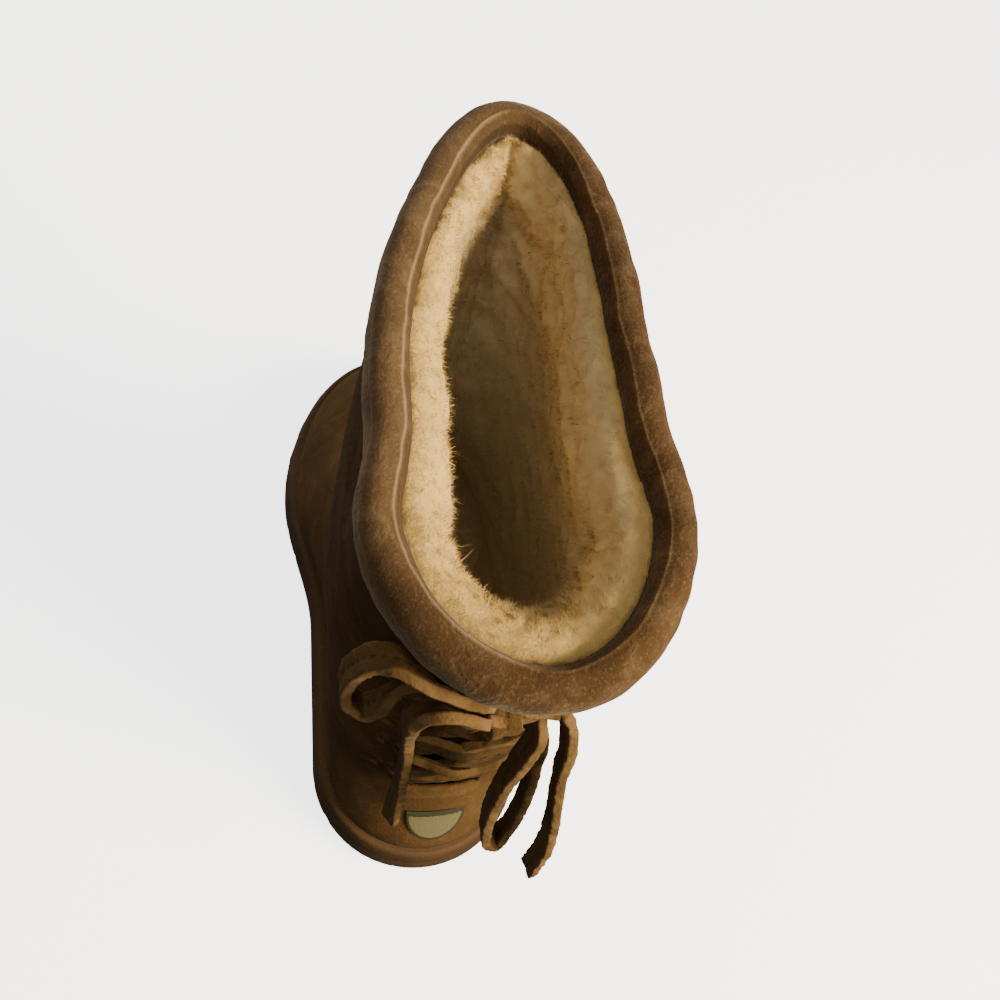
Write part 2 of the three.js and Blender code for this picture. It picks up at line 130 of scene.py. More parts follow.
def through(table, place):
    """Rows of a table at fractional places, on the Catmull-Rom curve through the rows."""
    table = np.asarray(table, float)
    place = np.asarray(place, float)
    last = len(table) - 1
    row = np.clip(np.floor(place).astype(int), 0, last - 1)
    x = place - row
    if table.ndim > 1:
        x = x[..., None]
    a, b, c, d = (table[np.clip(row + step, 0, last)] for step in (-1, 0, 1, 2))
    return b + 0.5 * x * (c - a + x * (2 * a - 5 * b + 4 * c - d + x * (3 * (b - c) + d - a)))


def ring_at(t):
    """The ring's columns at height t."""
    return dict(zip(RING_COLUMNS, np.moveaxis(through(RINGS, t), -1, 0)))


def toe_lift(y):
    """How far the toe springs up: a power of the way from its start to the tip."""
    return TOE_LIFT * np.clip((y - TOE_FROM) / (SOLE_LENGTH - TOE_FROM), 0, 1) ** TOE_POWER


def sole_top(y):
    """Height of the sole's upper face: an S curve from the heel down to the ball, plus the toe spring."""
    return mix(HEEL_HEIGHT, BALL_HEIGHT, ease(y, SLOPE_FROM, SLOPE_TO)) + toe_lift(y)


print(len(RINGS), "rings, from the sole's edge to the collar")

# %% Skin of the upper
TURN_STEP, HEIGHT_STEP = 0.004, 0.02


def round_end(place, power):
    """Width left at a place of a rounded end, 1 where it starts and 0 at its tip, on a superellipse."""
    return (1 - place**power) ** (1 / power)


def along_ring(u):
    """How far a turn has gone along the boot: 0 at the back of the ring and 1 at its front."""
    return (1 - np.cos(2 * np.pi * u)) / 2


def outline(ring, u):
    """Plan of a ring: a rounded rear end, a waist that widens to the ball and a rounded front end.
    u goes 0 to 1 from the back, by the outer side to the front and home by the inner side."""
    turn = u - np.floor(u)
    s = along_ring(turn)
    outer = turn <= 0.5
    front_start = 1 - ring["front_round"]
    widening = ease(s, np.minimum(WAIST_START, front_start - WAIST_LEAST), front_start)
    half = mix(ring["rear_half"], np.where(outer, ring["outer_half"], ring["inner_half"]), widening)
    rear = np.clip(1 - s / ring["rear_round"], 0, 1)
    front = np.clip((s - front_start) / ring["front_round"], 0, 1)
    ends = round_end(rear, ring["rear_power"]) * round_end(front, ring["front_power"])
    centre = ring["front_x"] * ease(s, SWING_START, 1)
    return centre + np.where(outer, 1, -1) * half * ends, mix(ring["back_y"], ring["front_y"], s), s


def skin(u, t):
    """Outer face of the upper: the ring's plan, at a height that runs straight from back to front and, low
    down, follows the sole's top."""
    u, t = np.broadcast_arrays(np.asarray(u, float), np.asarray(t, float))
    ring = ring_at(t)
    x, y, s = outline(ring, u)
    straight = mix(sole_top(ring["back_y"]), sole_top(ring["front_y"]), s)
    z = mix(ring["back_z"], ring["front_z"], s) + ring["follow"] * (sole_top(y) - straight)
    return np.stack([x, y, z], -1)


def unit(vectors):
    """Vectors scaled to length 1."""
    return vectors / np.maximum(np.linalg.norm(vectors, axis=-1, keepdims=True), 1e-12)


def skin_normal(u, t):
    """Outward normal: the step round the ring crossed with the step up it."""
    across = skin(u + TURN_STEP, t) - skin(u - TURN_STEP, t)
    up = skin(u, np.minimum(t + HEIGHT_STEP, TOP)) - skin(u, np.maximum(t - HEIGHT_STEP, 0))
    return unit(np.cross(across, up))


def off_skin(u, t, distance):
    """A point at a distance outside the skin, along its normal."""
    return skin(u, t) + skin_normal(u, t) * np.asarray(distance, float)[..., None]


HEIGHTS = np.linspace(0, TOP, 400)
BACK_HEIGHTS = ring_at(HEIGHTS)["back_z"]
HALVINGS = 30


def back_turn(half, t):
    """Turn at which a ring is so many millimetres from its middle at the back, found by halving."""
    half, t = np.broadcast_arrays(np.asarray(half, float), np.asarray(t, float))
    ring = ring_at(t)
    low, high = np.zeros(t.shape), np.full(t.shape, 0.2)
    for _ in range(HALVINGS):
        turn = (low + high) / 2
        narrow = outline(ring, turn)[0] < half
        low, high = np.where(narrow, turn, low), np.where(narrow, high, turn)
    return turn


def back_height(z):
    """Height t at which the back of the boot is z above the floor."""
    return np.interp(z, BACK_HEIGHTS, HEIGHTS)


def off_back(x, z, distance):
    """A point off the back of the shaft, given by its sideways place and its height there."""
    x, z = np.broadcast_arrays(np.asarray(x, float), np.asarray(z, float))
    t = back_height(z)
    return off_skin(np.sign(x) * back_turn(np.abs(x), t), t, np.broadcast_to(distance, x.shape))


print("back of the heel at", skin(0.0, 1.0).round(1), "and front of the collar at", skin(0.5, TOP).round(1))

# %% [markdown]
# ## Small tools
#
# Every piece goes through one function that turns arrays into a mesh, rides it on the boot's only body and
# hides the CAD nodes it stands for. Soft unevenness comes from a few dozen plane waves in random
# directions, which is cheap, smooth and the same each run because the random numbers are seeded.

# %% Mesh and unevenness
random = np.random.default_rng(7)
WAVES = 28


def uneven(points, size, seed):
    """Smooth noise about 1 high: the sum of plane waves, about size millimetres long, in random
    directions."""
    draw = np.random.default_rng(seed)
    waves = unit(draw.normal(size=(WAVES, 3))) * draw.uniform(0.6, 1.4, (WAVES, 1)) * 2 * np.pi / size
    phases = draw.uniform(0, 2 * np.pi, WAVES)
    return np.cos(points @ waves.T + phases).sum(-1) * np.sqrt(2 / WAVES) * 0.7


def lumpy(points, layers, seed=0):
    """The sum of layers of unevenness. Each layer has a height, a size and a seed of its own."""
    return sum(height * uneven(points, size, seed + own) for height, size, own in layers)


def grid_faces(rows, columns, close_rows=False, close_columns=False):
    """Corner numbers of each cell of a grid of points that are numbered row by row."""
    row = np.arange(rows if close_rows else rows - 1)[:, None]
    column = np.arange(columns if close_columns else columns - 1)[None, :]
    right, above = (column + 1) % columns, (row + 1) % rows
    here, next_row = row * columns, above * columns
    corners = [here + column, here + right, next_row + right, next_row + column]
    return np.stack(np.broadcast_arrays(*corners), -1).reshape(-1, 4)


def add_piece(name, points, faces, finish, stands_for=(), values=None):
    """A smooth mesh from drawing points and the corners of its faces, with one number per point for each
    named value."""
    mesh = bpy.data.meshes.new(name)
    corners = faces if isinstance(faces, list) else faces.tolist()
    mesh.from_pydata(to_frame(points).reshape(-1, 3).tolist(), [], corners)
    mesh.shade_smooth()
    for label, numbers in (values or {}).items():
        attribute = mesh.attributes.new(label, "FLOAT", "POINT")
        attribute.data.foreach_set("value", np.asarray(numbers, np.float32).ravel())
    piece = bpy.data.objects.new(name, mesh)
    bpy.context.scene.collection.objects.link(piece)
    mesh.materials.append(finish)
    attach(piece, "root")
    if stands_for:
        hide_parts(*stands_for)
    print(f"{name}: {len(mesh.vertices)} points, {len(mesh.polygons)} faces")
    return piece


def thicken(piece, thickness):
    """Gives a sheet its thickness, on the inner side of its faces."""
    modifier = piece.modifiers.new("thickness", "SOLIDIFY")
    modifier.thickness = thickness * MM
    modifier.offset = -1
    return piece


print("unevenness at the back of the heel:", uneven(skin(0.0, 1.0), 20, 1).round(2))

# %% [markdown]
# ## Shader sums
#
# A finish is a material that varies from place to place. Its sums read best as sums, so a small class wraps
# a socket and adds a Math node for each operator. One method makes every other node: it sets the node's own
# settings first and then gives its sockets values or links.

# %% A finish and its links
class Link:
    """A socket of a finish. Arithmetic on it adds a Math node and gives that node's socket."""

    def __init__(self, finish, socket):
        self.finish = finish
        self.socket = socket

    def maths(self, operation, first, second):
        """A Math node of two links or numbers."""
        return self.finish.node("ShaderNodeMath", {"operation": operation}, {0: first, 1: second})

    def __add__(self, other):
        return self.maths("ADD", self, other)

    __radd__ = __add__

    def __mul__(self, other):
        return self.maths("MULTIPLY", self, other)

    __rmul__ = __mul__

    def step(self, low, high):
        """An S curve from 0 at low to 1 at high."""
        sockets = {"Value": self, "From Min": low, "From Max": high}
        return self.finish.node("ShaderNodeMapRange", {"interpolation_type": "SMOOTHSTEP"}, sockets)


class Finish:
    """A material with a Principled shader, and the nodes that feed it."""

    def __init__(self, name):
        self.material = bpy.data.materials.new(name)
        self.material.use_nodes = True
        self.tree = self.material.node_tree
        self.shader = self.tree.nodes["Principled BSDF"]
        self.place = self.node("ShaderNodeTexCoord", output="Object")

    def node(self, kind, settings=None, sockets=None, output=0):
        """A new node of a kind: its settings first, then its sockets. Gives one of its outputs."""
        made = self.tree.nodes.new(kind)
        for name, value in (settings or {}).items():
            setattr(made, name, value)
        for name, value in (sockets or {}).items():
            self.feed(made.inputs[name], value)
        return Link(self, made.outputs[output])

    def feed(self, socket, value):
        """Links a socket to a link's socket, or sets it to a plain value."""
        if isinstance(value, Link):
            self.tree.links.new(value.socket, socket)
        else:
            socket.default_value = value

    def noise(self, size, detail=2.0, roughness=0.5, distortion=0.0, stretch=None):
        """Noise from 0 to 1 in patches about size millimetres across, stretched along the axes if asked."""
        place = self.place
        if stretch is not None:
            place = self.node("ShaderNodeVectorMath", {"operation": "MULTIPLY"}, {0: place, 1: stretch})
        sockets = {"Vector": place, "Scale": 1 / (size * MM), "Detail": detail, "Roughness": roughness}
        return self.node("ShaderNodeTexNoise", None, {**sockets, "Distortion": distortion})

    def value(self, name):
        """A number that the mesh carries at each point."""
        return self.node("ShaderNodeAttribute", {"attribute_name": name}, None, output="Fac")

    def blend(self, factor, first, second):
        """The first colour, or the second where the factor is 1."""
        return self.node("ShaderNodeMix", {"data_type": "RGBA"}, {0: factor, 6: first, 7: second}, output=2)

    def done(self, colour, bump=None, depth=0.0, roughness=0.9, constants=None):
        """Feeds the shader: colour and roughness may vary, a bump height is worth depth millimetres, and the
        other sockets get constants."""
        self.feed(self.shader.inputs["Base Color"], colour)
        self.feed(self.shader.inputs["Roughness"], roughness)
        if bump is not None:
            sockets = {"Height": bump, "Distance": depth * MM, "Strength": 1.0}
            self.feed(self.shader.inputs["Normal"], self.node("ShaderNodeBump", None, sockets))
        for name, value in (constants or {}).items():
            self.shader.inputs[name].default_value = value
        return self.material


def rgb(red, green, blue):
    """A colour as a painter's 0 to 255 numbers, made linear for the shader."""
    share = np.array([red, green, blue]) / 255
    linear = np.where(share <= 0.04045, share / 12.92, ((share + 0.055) / 1.055) ** 2.4)
    return (*linear.tolist(), 1.0)


print("middle grey is", round(rgb(128, 128, 128)[0], 3), "when linear")

# %% [markdown]
# ## Suede
#
# Suede is the flesh side of a hide, sanded to a nap. The nap lies in patches that catch the light
# differently, single fibres show as light and dark specks, and the whole face has a velvet sheen at its
# edges. A picture of suede would stretch over the boot's curves, so noise of four sizes makes the patches,
# the brushed places, the specks and the fibres. A fine bump raises the nap, and the shader's own sheen does
# the rest. Pieces carry two numbers. One turns the nap light where it is rubbed and paints light where light
# falls on it. The other darkens it with dirt and paints shade into slits, crevices and shaded parts.

# %% Suede finish
# near black, for dirt and for painted shade
SUEDE_DIRT_AND_SHADE = rgb(14, 7, 2)
SUEDE_SHEEN = rgb(214, 194, 172)
NAP_DEPTH = 0.5


def suede(name, dark, mid, light, sheen=0.2):
    """Suede of three related browns: patches mix dark and mid, rubbed and brushed places and painted light
    turn it light, dirt and painted shade turn it dark.
    """
    finish = Finish(name)
    patches = finish.noise(34, 3, 0.55, 0.6).step(0.32, 0.68)
    brushed = finish.noise(9, 4, 0.62, 0.8).step(0.42, 0.75)
    fibres = finish.noise(0.9, 3, 0.7)
    specks = finish.noise(0.8, 2, 0.6).step(0.52, 0.72)
    worn_and_lit = finish.value("worn_and_lit")
    grime_and_shade = finish.value("grime_and_shade")
    colour = finish.blend(patches * 0.6 + fibres * 0.4, dark, mid)
    # lightening: rubbed and brushed nap, and painted light where pieces ask for it
    colour = finish.blend(brushed * 0.18 + specks * 0.15 + worn_and_lit * 0.75, colour, light)
    # darkening: dirt, and painted shade where pieces ask for it
    colour = finish.blend(grime_and_shade * (0.75 + 0.25 * fibres), colour, SUEDE_DIRT_AND_SHADE)
    height = fibres * 0.7 + brushed * 0.5
    velvet = {
        "Specular IOR Level": 0.06, "Sheen Weight": sheen, "Sheen Roughness": 0.4, "Sheen Tint": SUEDE_SHEEN,
    }
    return finish.done(colour, height, NAP_DEPTH, 0.92, velvet)


CHESTNUT = suede("chestnut_suede", rgb(50, 31, 11), rgb(76, 53, 25), rgb(118, 90, 54), 0.02)
BINDING_SUEDE = suede("binding_suede", rgb(50, 34, 18), rgb(76, 54, 30), rgb(148, 121, 88), 0.25)
GUSSET_SUEDE = suede("gusset_suede", rgb(30, 16, 4), rgb(50, 30, 10), rgb(76, 50, 21), 0.02)
LACE_SUEDE = suede("lace_suede", rgb(58, 40, 18), rgb(88, 64, 33), rgb(134, 104, 65), 0.05)
print("suede finishes made")

# %% [markdown]
# ## The upper
#
# The suede upper is one sheet shaped over the last, open at the top and underneath, with a gap down its
# back and two rows of slanted slits that the lace runs through. A boolean cut would leave ragged triangles,
# so the grid's columns are drawn to follow the gap's edges and the cells in the gap are left out. The slits
# are narrow troughs with raised lips, pushed into the sheet where its grid is fine, and soft pull lines run
# outwards from them.

# %% Lacing sizes
GAP_HALF = 14.0
GAP_BOTTOM, GAP_TOP = 66.0, 197.0
SLIT_ROWS = (82.0, 108.0, 134.0, 160.0, 186.0)
SLIT_X = 20.5
SLIT_LENGTH, SLIT_WIDTH, SLIT_TILT = 11.0, 1.5, 0.6
SLIT_END, SLIT_NEAR = 3.0, 6.0  # how far a slit's ends fade, and how far off its face it still counts
LIP_AWAY, LIP_HALF = 2.4, 0.9
PULL_HALF, PULL_START, PULL_END = 2.6, (4, 8), (9, 24)
TROUGH_SINK, LIP_RISE, PULL_SINK = 2.6, 0.6, 0.8
TROUGH_POWER = 1.2  # above 1 it makes the trough narrower
FLAP_WIDTH = 18.0
SUEDE_THICK = 2.0
FLAP_COLUMNS, SIDE_COLUMNS, GAP_COLUMNS = 34, 150, 12
HEEL_ROWS, GAP_ROWS, NECK_ROWS = 34, 124, 12
UPPER_TOP = TOP - 0.35


def slit_frames():
    """Centre, outward direction, direction along and direction across of every slit, row by row and side by
    side. Along points to the outer end, which is tilted up."""
    x = np.array([side * SLIT_X for _ in SLIT_ROWS for side in (-1, 1)])
    z = np.repeat(SLIT_ROWS, 2)
    centre = off_back(x, z, 0.0)
    out = unit(off_back(x, z, 1.0) - centre)
    side = unit(np.cross(out, [0.0, 0.0, 1.0]))
    side = side * np.sign(side[:, :1] * x[:, None])
    up = unit(np.cross(side, out) * np.sign(np.cross(side, out)[:, 2:]))
    along = side * np.cos(SLIT_TILT) + up * np.sin(SLIT_TILT)
    across = up * np.cos(SLIT_TILT) - side * np.sin(SLIT_TILT)
    return centre, out, along, across


def slit_relief(points):
    """Height, painted shade and wear that the slits give: a trough with two lips along each slit, the trough
    painted dark as shade, the lips rubbed light at its outer end, and a soft pull line that fades away from
    there."""
    height, dark, light = (np.zeros(points.shape[:-1]) for _ in range(3))
    for centre, out, along, across in zip(*slit_frames()):
        away = points - centre
        a, b = away @ along, away @ across
        near = hump(away @ out, 0, SLIT_NEAR)
        length = ease(-np.abs(a), -SLIT_LENGTH / 2, -SLIT_LENGTH / 2 + SLIT_END) * near
        trough = hump(b, 0, SLIT_WIDTH) ** TROUGH_POWER * length
        lips = hump(np.abs(b), LIP_AWAY, LIP_HALF) * length
        pull = hump(b, 0, PULL_HALF) * ease(a, *PULL_START) * (1 - ease(a, *PULL_END)) * near
        height += LIP_RISE * lips - TROUGH_SINK * trough - PULL_SINK * pull
        # painted shade in the trough
        dark = np.maximum(dark, ease(trough, 0.3, 0.8))
        light = np.maximum(light, lips * ease(a, -2, 3))
    return height, dark, light


print(2 * len(SLIT_ROWS), "slits beside the gap")

# %% Suede upper
DENTS = ((0.8, 62, 1), (0.3, 22, 2))  # height, size and seed of each layer
FOLDS = ((1.0, 92, 5), (0.8, 116, 6))  # strength, height and half width of each fold
FOLD_DEPTH, FOLD_SLANT = 0.9, 0.35
# the heel is rubbed and painted lighter where light falls on it; the toe's lightening is painted light
HEEL_WEAR_AND_LIGHT, EDGE_WEAR, PATCHY_WEAR, TOE_PAINTED_LIGHT, LIP_WEAR = 0.28, 0.25, 0.15, 0.3, 0.8
# darkens the upper towards the sole
LOW_DARKENING = 0.35


def upper_grid():
    """Turn and height of the upper's grid, rows from the sole up. The columns are, in order, the outer flap,
    the side round the front, the inner flap and the gap."""
    low, high = back_height(GAP_BOTTOM), back_height(GAP_TOP)
    heights = np.concatenate([
        np.linspace(0, low, HEEL_ROWS + 1)[:-1],
        np.linspace(low, high, GAP_ROWS + 1),
        np.linspace(high, UPPER_TOP, NECK_ROWS + 1)[1:],
    ])[:, None]
    flap = back_turn(GAP_HALF + np.linspace(0, FLAP_WIDTH, FLAP_COLUMNS), heights)
    side = mix(flap[:, -1:], 1 - flap[:, -1:], np.linspace(0, 1, SIDE_COLUMNS + 2)[1:-1])
    gap = mix(1 - flap[:, :1], 1 + flap[:, :1], np.linspace(0, 1, GAP_COLUMNS + 2)[1:-1])
    turn = np.concatenate([flap, side, 1 - flap[:, ::-1], gap], 1)
    return turn, np.broadcast_to(heights, turn.shape)


def upper_piece():
    """The skin, pushed along its normal by the suede's soft dents, the ankle's folds and the slits."""
    u, t = upper_grid()
    points = skin(u, t)
    slit, dark, light = slit_relief(points)
    free = ease(t, 0.2, 1.5) * (1 - ease(t, TOP - 2, TOP - 1))
    x, y, z = np.moveaxis(points, -1, 0)
    fold_line = z - FOLD_SLANT * np.abs(x) + 4 * uneven(points, 60, 3)
    folds = sum(strength * hump(fold_line, place, half) for strength, place, half in FOLDS)
    instep = ease(y, 70, 135) * (1 - ease(y, 165, 190))
    height = free * lumpy(points, DENTS) - FOLD_DEPTH * folds * instep + slit
    edge = ease(-np.abs(x), -GAP_HALF - 3, -GAP_HALF) * (y < 60) * (t > 4)
    rows, columns = u.shape
    faces = grid_faces(rows, columns, close_columns=True)
    column = np.arange(len(faces)) % columns
    row = np.arange(len(faces)) // columns
    past_flaps = column >= 2 * FLAP_COLUMNS + SIDE_COLUMNS - 1
    in_gap = past_flaps & (row >= HEEL_ROWS) & (row < HEEL_ROWS + GAP_ROWS)
    heel = ease(-z, -GAP_BOTTOM - 2, -GAP_BOTTOM + 8) * (1 - ease(y, 20, 45))
    # lightening: rubbed wear, painted light on the heel below the gap and on the toe, rubbed slit lips
    worn_and_lit = HEEL_WEAR_AND_LIGHT * heel + EDGE_WEAR * edge + PATCHY_WEAR * ease(uneven(points, 40, 4), 0.4, 1.2)
    worn_and_lit = np.maximum(worn_and_lit + TOE_PAINTED_LIGHT * ease(y, 90, 150), LIP_WEAR * light)
    # darkening: painted shade in the slit troughs, and darker towards the sole
    grime_and_shade = np.maximum(dark, LOW_DARKENING * (1 - ease(t, 0.0, 0.5)))
    placed = points + skin_normal(u, t) * height[..., None]
    values = {"worn_and_lit": worn_and_lit, "grime_and_shade": grime_and_shade}
    piece = add_piece("upper_suede", placed, faces[~in_gap], CHESTNUT, ["upper"], values)
    return thicken(piece, SUEDE_THICK)


upper_piece()

# %% [markdown]
# ## The gusset
#
# Behind the gap sits a panel of suede that keeps the weather out, painted darker than the upper as the shade
# behind the gap. A flat plane would cut through the round shaft, so it is a patch of the same skin, sunk a
# little and a little wider than the gap, with the crumples that come when the lace draws the gap together.

# %% Gusset behind the gap
GUSSET_HALF = 19.0
GUSSET_OVERLAP = 5.0
GUSSET_SINK = 3.0
GUSSET_THICK = 1.6
GUSSET_COLUMNS, GUSSET_ROWS = 45, 130
CRUMPLE_HEIGHT, CRUMPLE_LENGTH = 0.45, 4.2


def gusset_piece():
    """A patch of the back face sunk behind the flaps, crumpled across by waves that run up and down."""
    across = np.linspace(-GUSSET_HALF, GUSSET_HALF, GUSSET_COLUMNS)
    up = np.linspace(GAP_BOTTOM - GUSSET_OVERLAP, GAP_TOP + GUSSET_OVERLAP, GUSSET_ROWS)
    x, z = np.meshgrid(across, up)
    ridges = np.sin(z / CRUMPLE_LENGTH + 0.05 * x * np.sin(z / 17)) * np.cos(x / 13) * (np.abs(x) < GAP_HALF)
    dents = 0.25 * uneven(off_back(x, z, 0.0), 14, 5)
    points = off_back(x, z, CRUMPLE_HEIGHT * ridges - GUSSET_SINK + dents)
    blank = np.zeros(x.shape)
    # an even painted shade over the whole panel
    values = {"worn_and_lit": blank, "grime_and_shade": 0.25 + blank}
    faces = grid_faces(*x.shape)
    piece = add_piece("back_gusset", points, faces, GUSSET_SUEDE, ["back_gusset"], values)
    return thicken(piece, GUSSET_THICK)


gusset_piece()

# %% [markdown]
# ## The collar's binding
#
# A strip of suede is folded over the collar's edge. A bevelled curve would give it one plain section, so a
# drawn section is carried round the top ring instead: up the outside, over a soft crown and a short way
# down the inside, then home along the wall. The fold is rubbed light along a crest near the wool, with a
# painted highlight on the crest along the inner side, which faces the light, and a faint painted sheen at
# the front and the inner side. Inside the crest the strip is darker, more so on the inner side, and the
# turned-in edge beside the wool is painted dark as shade. The strip puckers a little where it was drawn
# tight.

# %% Binding round the collar
BINDING_THICK = 1.8
BINDING_RISE = 4.2
BINDING_DROP = 0.5
BINDING_TURN_IN = 0.25
COLLAR_WALL = 5.2
BINDING_GAP = 0.3
BINDING_COLUMNS = 300
CROWN_STEPS = 44
CREST_ANGLE, CREST_HALF, CREST_RISE = 2.2, 0.09, 0.4
PUCKERS = ((0.2, 24, 6), (0.12, 7, 7))
HEM_WAVES = ((0.9, 30, 8), (0.3, 8, 15))
CROWN_WAVES = ((0.3, 20, 9),)


def binding_section():
    """Height in rings, distance off the skin and rise of the section's points, and the angle over the crown,
    which is 0 outside and a half turn inside."""
    out = BINDING_GAP + BINDING_THICK
    inner = -COLLAR_WALL - BINDING_GAP
    centre, reach = -COLLAR_WALL / 2, COLLAR_WALL / 2 + out
    low = TOP - BINDING_DROP
    rise = np.linspace(0, 1, 16)
    outside = np.stack([mix(low, TOP, rise), out + 0.5 * np.sin(np.pi * rise), 0 * rise, 0 * rise], 1)
    hem = np.array([[low, BINDING_GAP, 0, 0], [low, 0.6 * out, -0.6, 0]])
    angle = np.linspace(0, np.pi, CROWN_STEPS)[1:]
    crest = CREST_RISE * hump(angle, CREST_ANGLE, CREST_HALF)
    inside = 1 - 0.3 * ease(angle, CREST_ANGLE, np.pi)
    crown = np.stack([
        0 * angle + TOP,
        centre + reach * np.cos(angle),
        BINDING_RISE * np.sin(angle) * inside + crest,
        angle,
    ], 1)
    turned = np.array([
        [TOP - BINDING_TURN_IN / 2, inner - BINDING_THICK, 0, np.pi],
        [TOP - BINDING_TURN_IN, inner - BINDING_THICK, 0, np.pi],
        [TOP - BINDING_TURN_IN, inner + 0.4, 0, np.pi],
        [TOP, inner, 0, np.pi],
        [TOP, centre, BINDING_RISE - BINDING_THICK, np.pi],
        [TOP, BINDING_GAP, 0, 0],
        [TOP - BINDING_DROP / 2, BINDING_GAP, 0, 0],
    ])
    return np.concatenate([hem, outside, crown, turned])


def binding_piece():
    """The section carried round the ring, with faint puckers that vary round it and a hem that waves."""
    t, distance, rise, angle = binding_section().T
    turn = np.arange(BINDING_COLUMNS) / BINDING_COLUMNS
    u, t = np.meshgrid(turn, t)
    distance, rise, angle = (np.broadcast_to(value[:, None], u.shape) for value in (distance, rise, angle))
    shown = (distance > 1) | (rise > 1)
    base = off_skin(u, t, distance)
    hem = 1 - ease(t, TOP - BINDING_DROP, TOP - BINDING_DROP + 0.15)
    points = off_skin(u, t, distance + lumpy(base, PUCKERS) * shown)
    points[..., 2] += rise + lumpy(base, HEM_WAVES) * hem
    points[..., 2] += lumpy(base, CROWN_WAVES) * (rise > 0)
    crest = hump(angle, CREST_ANGLE, CREST_HALF) * (rise > 0)
    inner_side = ease(u, 0.5, 0.56) * (1 - ease(u, 0.94, 1.0))
    # painted sheen at the front and the inner side
    painted_sheen = ease(u, 0.36, 0.5) * (1 - ease(u, 0.78, 0.95))
    # rubbed crest, with painted highlight where the inner side faces the light; rubbed hem; painted sheen
    worn_and_lit = crest * (0.05 + 0.7 * inner_side) + 0.45 * hem + 0.17 * painted_sheen
    # darker inside the crest, more so on the inner side
    grime_and_shade = (0.1 + 0.25 * inner_side) * ease(angle, CREST_ANGLE + 0.1, CREST_ANGLE + 0.3)
    # painted shade at the turned-in edge beside the wool
    grime_and_shade = grime_and_shade + 0.4 * ease(angle, 2.8, 3.1)
    faces = grid_faces(*u.shape, close_rows=True, close_columns=True)
    values = {"worn_and_lit": worn_and_lit, "grime_and_shade": grime_and_shade}
    return add_piece(
        "collar_binding", points, faces, BINDING_SUEDE, ["collar_binding"], values
    )


binding_piece()

# %% [markdown]
# ## Wool
#
# The lining is the fleece of the same skin, shorn to an even depth of about a centimetre. It swells past
# the binding and rolls over into the dark shaft. Hair particles would not survive the export, so the fleece
# is a softly lumpy closed surface, and many thousands of short ribbons lie on it for the fibres. They lean
# low and are shaded mostly like the surface under them, because steep ribbons seen from behind would look
# like dark specks. Real wool also passes light on from fibre to fibre. Ribbons do not, so the wool down in
# the shaft has a very faint glow of its own.
# Deep in the shaft, and sooner on the outer wall in the collar's shade, the wool is painted grey as shade,
# and its faint glow there is painted light.

# %% Wool finish
# grey-brown painted as shade deep in the boot; the glow below is painted light
WOOL_PAINTED_SHADE = rgb(176, 157, 121)
NO_GLOW = (0.0, 0.0, 0.0, 1.0)
WOOL_GLOW = (0.018, 0.0115, 0.0044, 1.0)


def wool(name, root, cream, light):
    """Cream wool: tufts a few millimetres across, darker at their roots as painted shade among the fibres
    and pale at their tips, painted greyer as shade and faintly glowing as painted light deep in the boot."""
    finish = Finish(name)
    tufts = finish.noise(5, 3, 0.6, 0.5).step(0.3, 0.7)
    fibres = finish.noise(0.7, 2, 0.6)
    tip = finish.value("tip")
    deep = finish.value("deep")
    # darker roots: painted shade among the fibres
    colour = finish.blend(tufts * 0.35 + fibres * 0.3 + tip * 0.35, root, cream)
    colour = finish.blend(tip * tufts * 0.6, colour, light)
    # painted shade deep in the boot and on the outer wall
    colour = finish.blend(deep, colour, WOOL_PAINTED_SHADE)
    # painted light: a faint glow where the wool is deep
    finish.feed(finish.shader.inputs["Emission Color"], finish.blend(deep, NO_GLOW, WOOL_GLOW))
    velvet = {
        "Specular IOR Level": 0.05, "Sheen Weight": 0.15, "Sheen Roughness": 0.6, "Sheen Tint": light,
        "Emission Strength": 1.0,
    }
    return finish.done(colour, tufts * 0.5 + fibres * 0.5, 0.3, 0.95, velvet)


WOOL = wool("cream_wool", rgb(200, 164, 96), rgb(215, 181, 108), rgb(228, 198, 124))
print("wool finish made")

# %% Shape of the fleece
FLEECE_DROPS = [0.3, 0.18, 0.2, 0.38, 0.74, 1.3, 2.2, 3.4, 4.6, 5.8, 7.0, 8.4, 9.8, 11.2, 12.3]
FLEECE_DEPTHS = [5.9, 8.2, 11.4, 14.2, 16.3, 17.0, 16.2, 15.0, 13.6, 12.6, 12.0, 11.4, 11.0, 10.4, 9.6]
FLEECE_HEIGHTS = TOP - np.array(FLEECE_DROPS)
FLEECE_LAST = len(FLEECE_HEIGHTS) - 1
FLEECE_BACKING = 5.6
FLEECE_COLUMNS, FLEECE_ROWS, BACKING_ROWS = 260, 150, 10
FLEECE_LUMPS = ((0.6, 14, 10), (0.35, 5, 11))
CREASE_DEPTH, CREASE_HALF = 3.2, 0.02
INNER_WALL, INNER_WALL_HALF = 0.72, 0.13  # turn of the middle of the wall, and its half width
# where the outer wall is greyed sooner by painted shade
OUTER_WALL, OUTER_WALL_HALF = 0.3, 0.2


def fleece_share(u):
    """How deep the fleece is round the ring: deep at the back and on the inner wall, thin at the front."""
    s = along_ring(u)
    inner_wall = hump(u - np.floor(u), INNER_WALL, INNER_WALL_HALF)
    return mix(1.18, 0.66, ease(s, 0.25, 0.95)) + 0.2 * inner_wall


def fleece_height(u, w):
    """Height in rings of the fleece's face. At the narrow front the wool lies a little lower."""
    s = along_ring(u)
    return np.clip(through(FLEECE_HEIGHTS, w) - 0.14 * ease(s, 0.75, 1), 0, TOP)


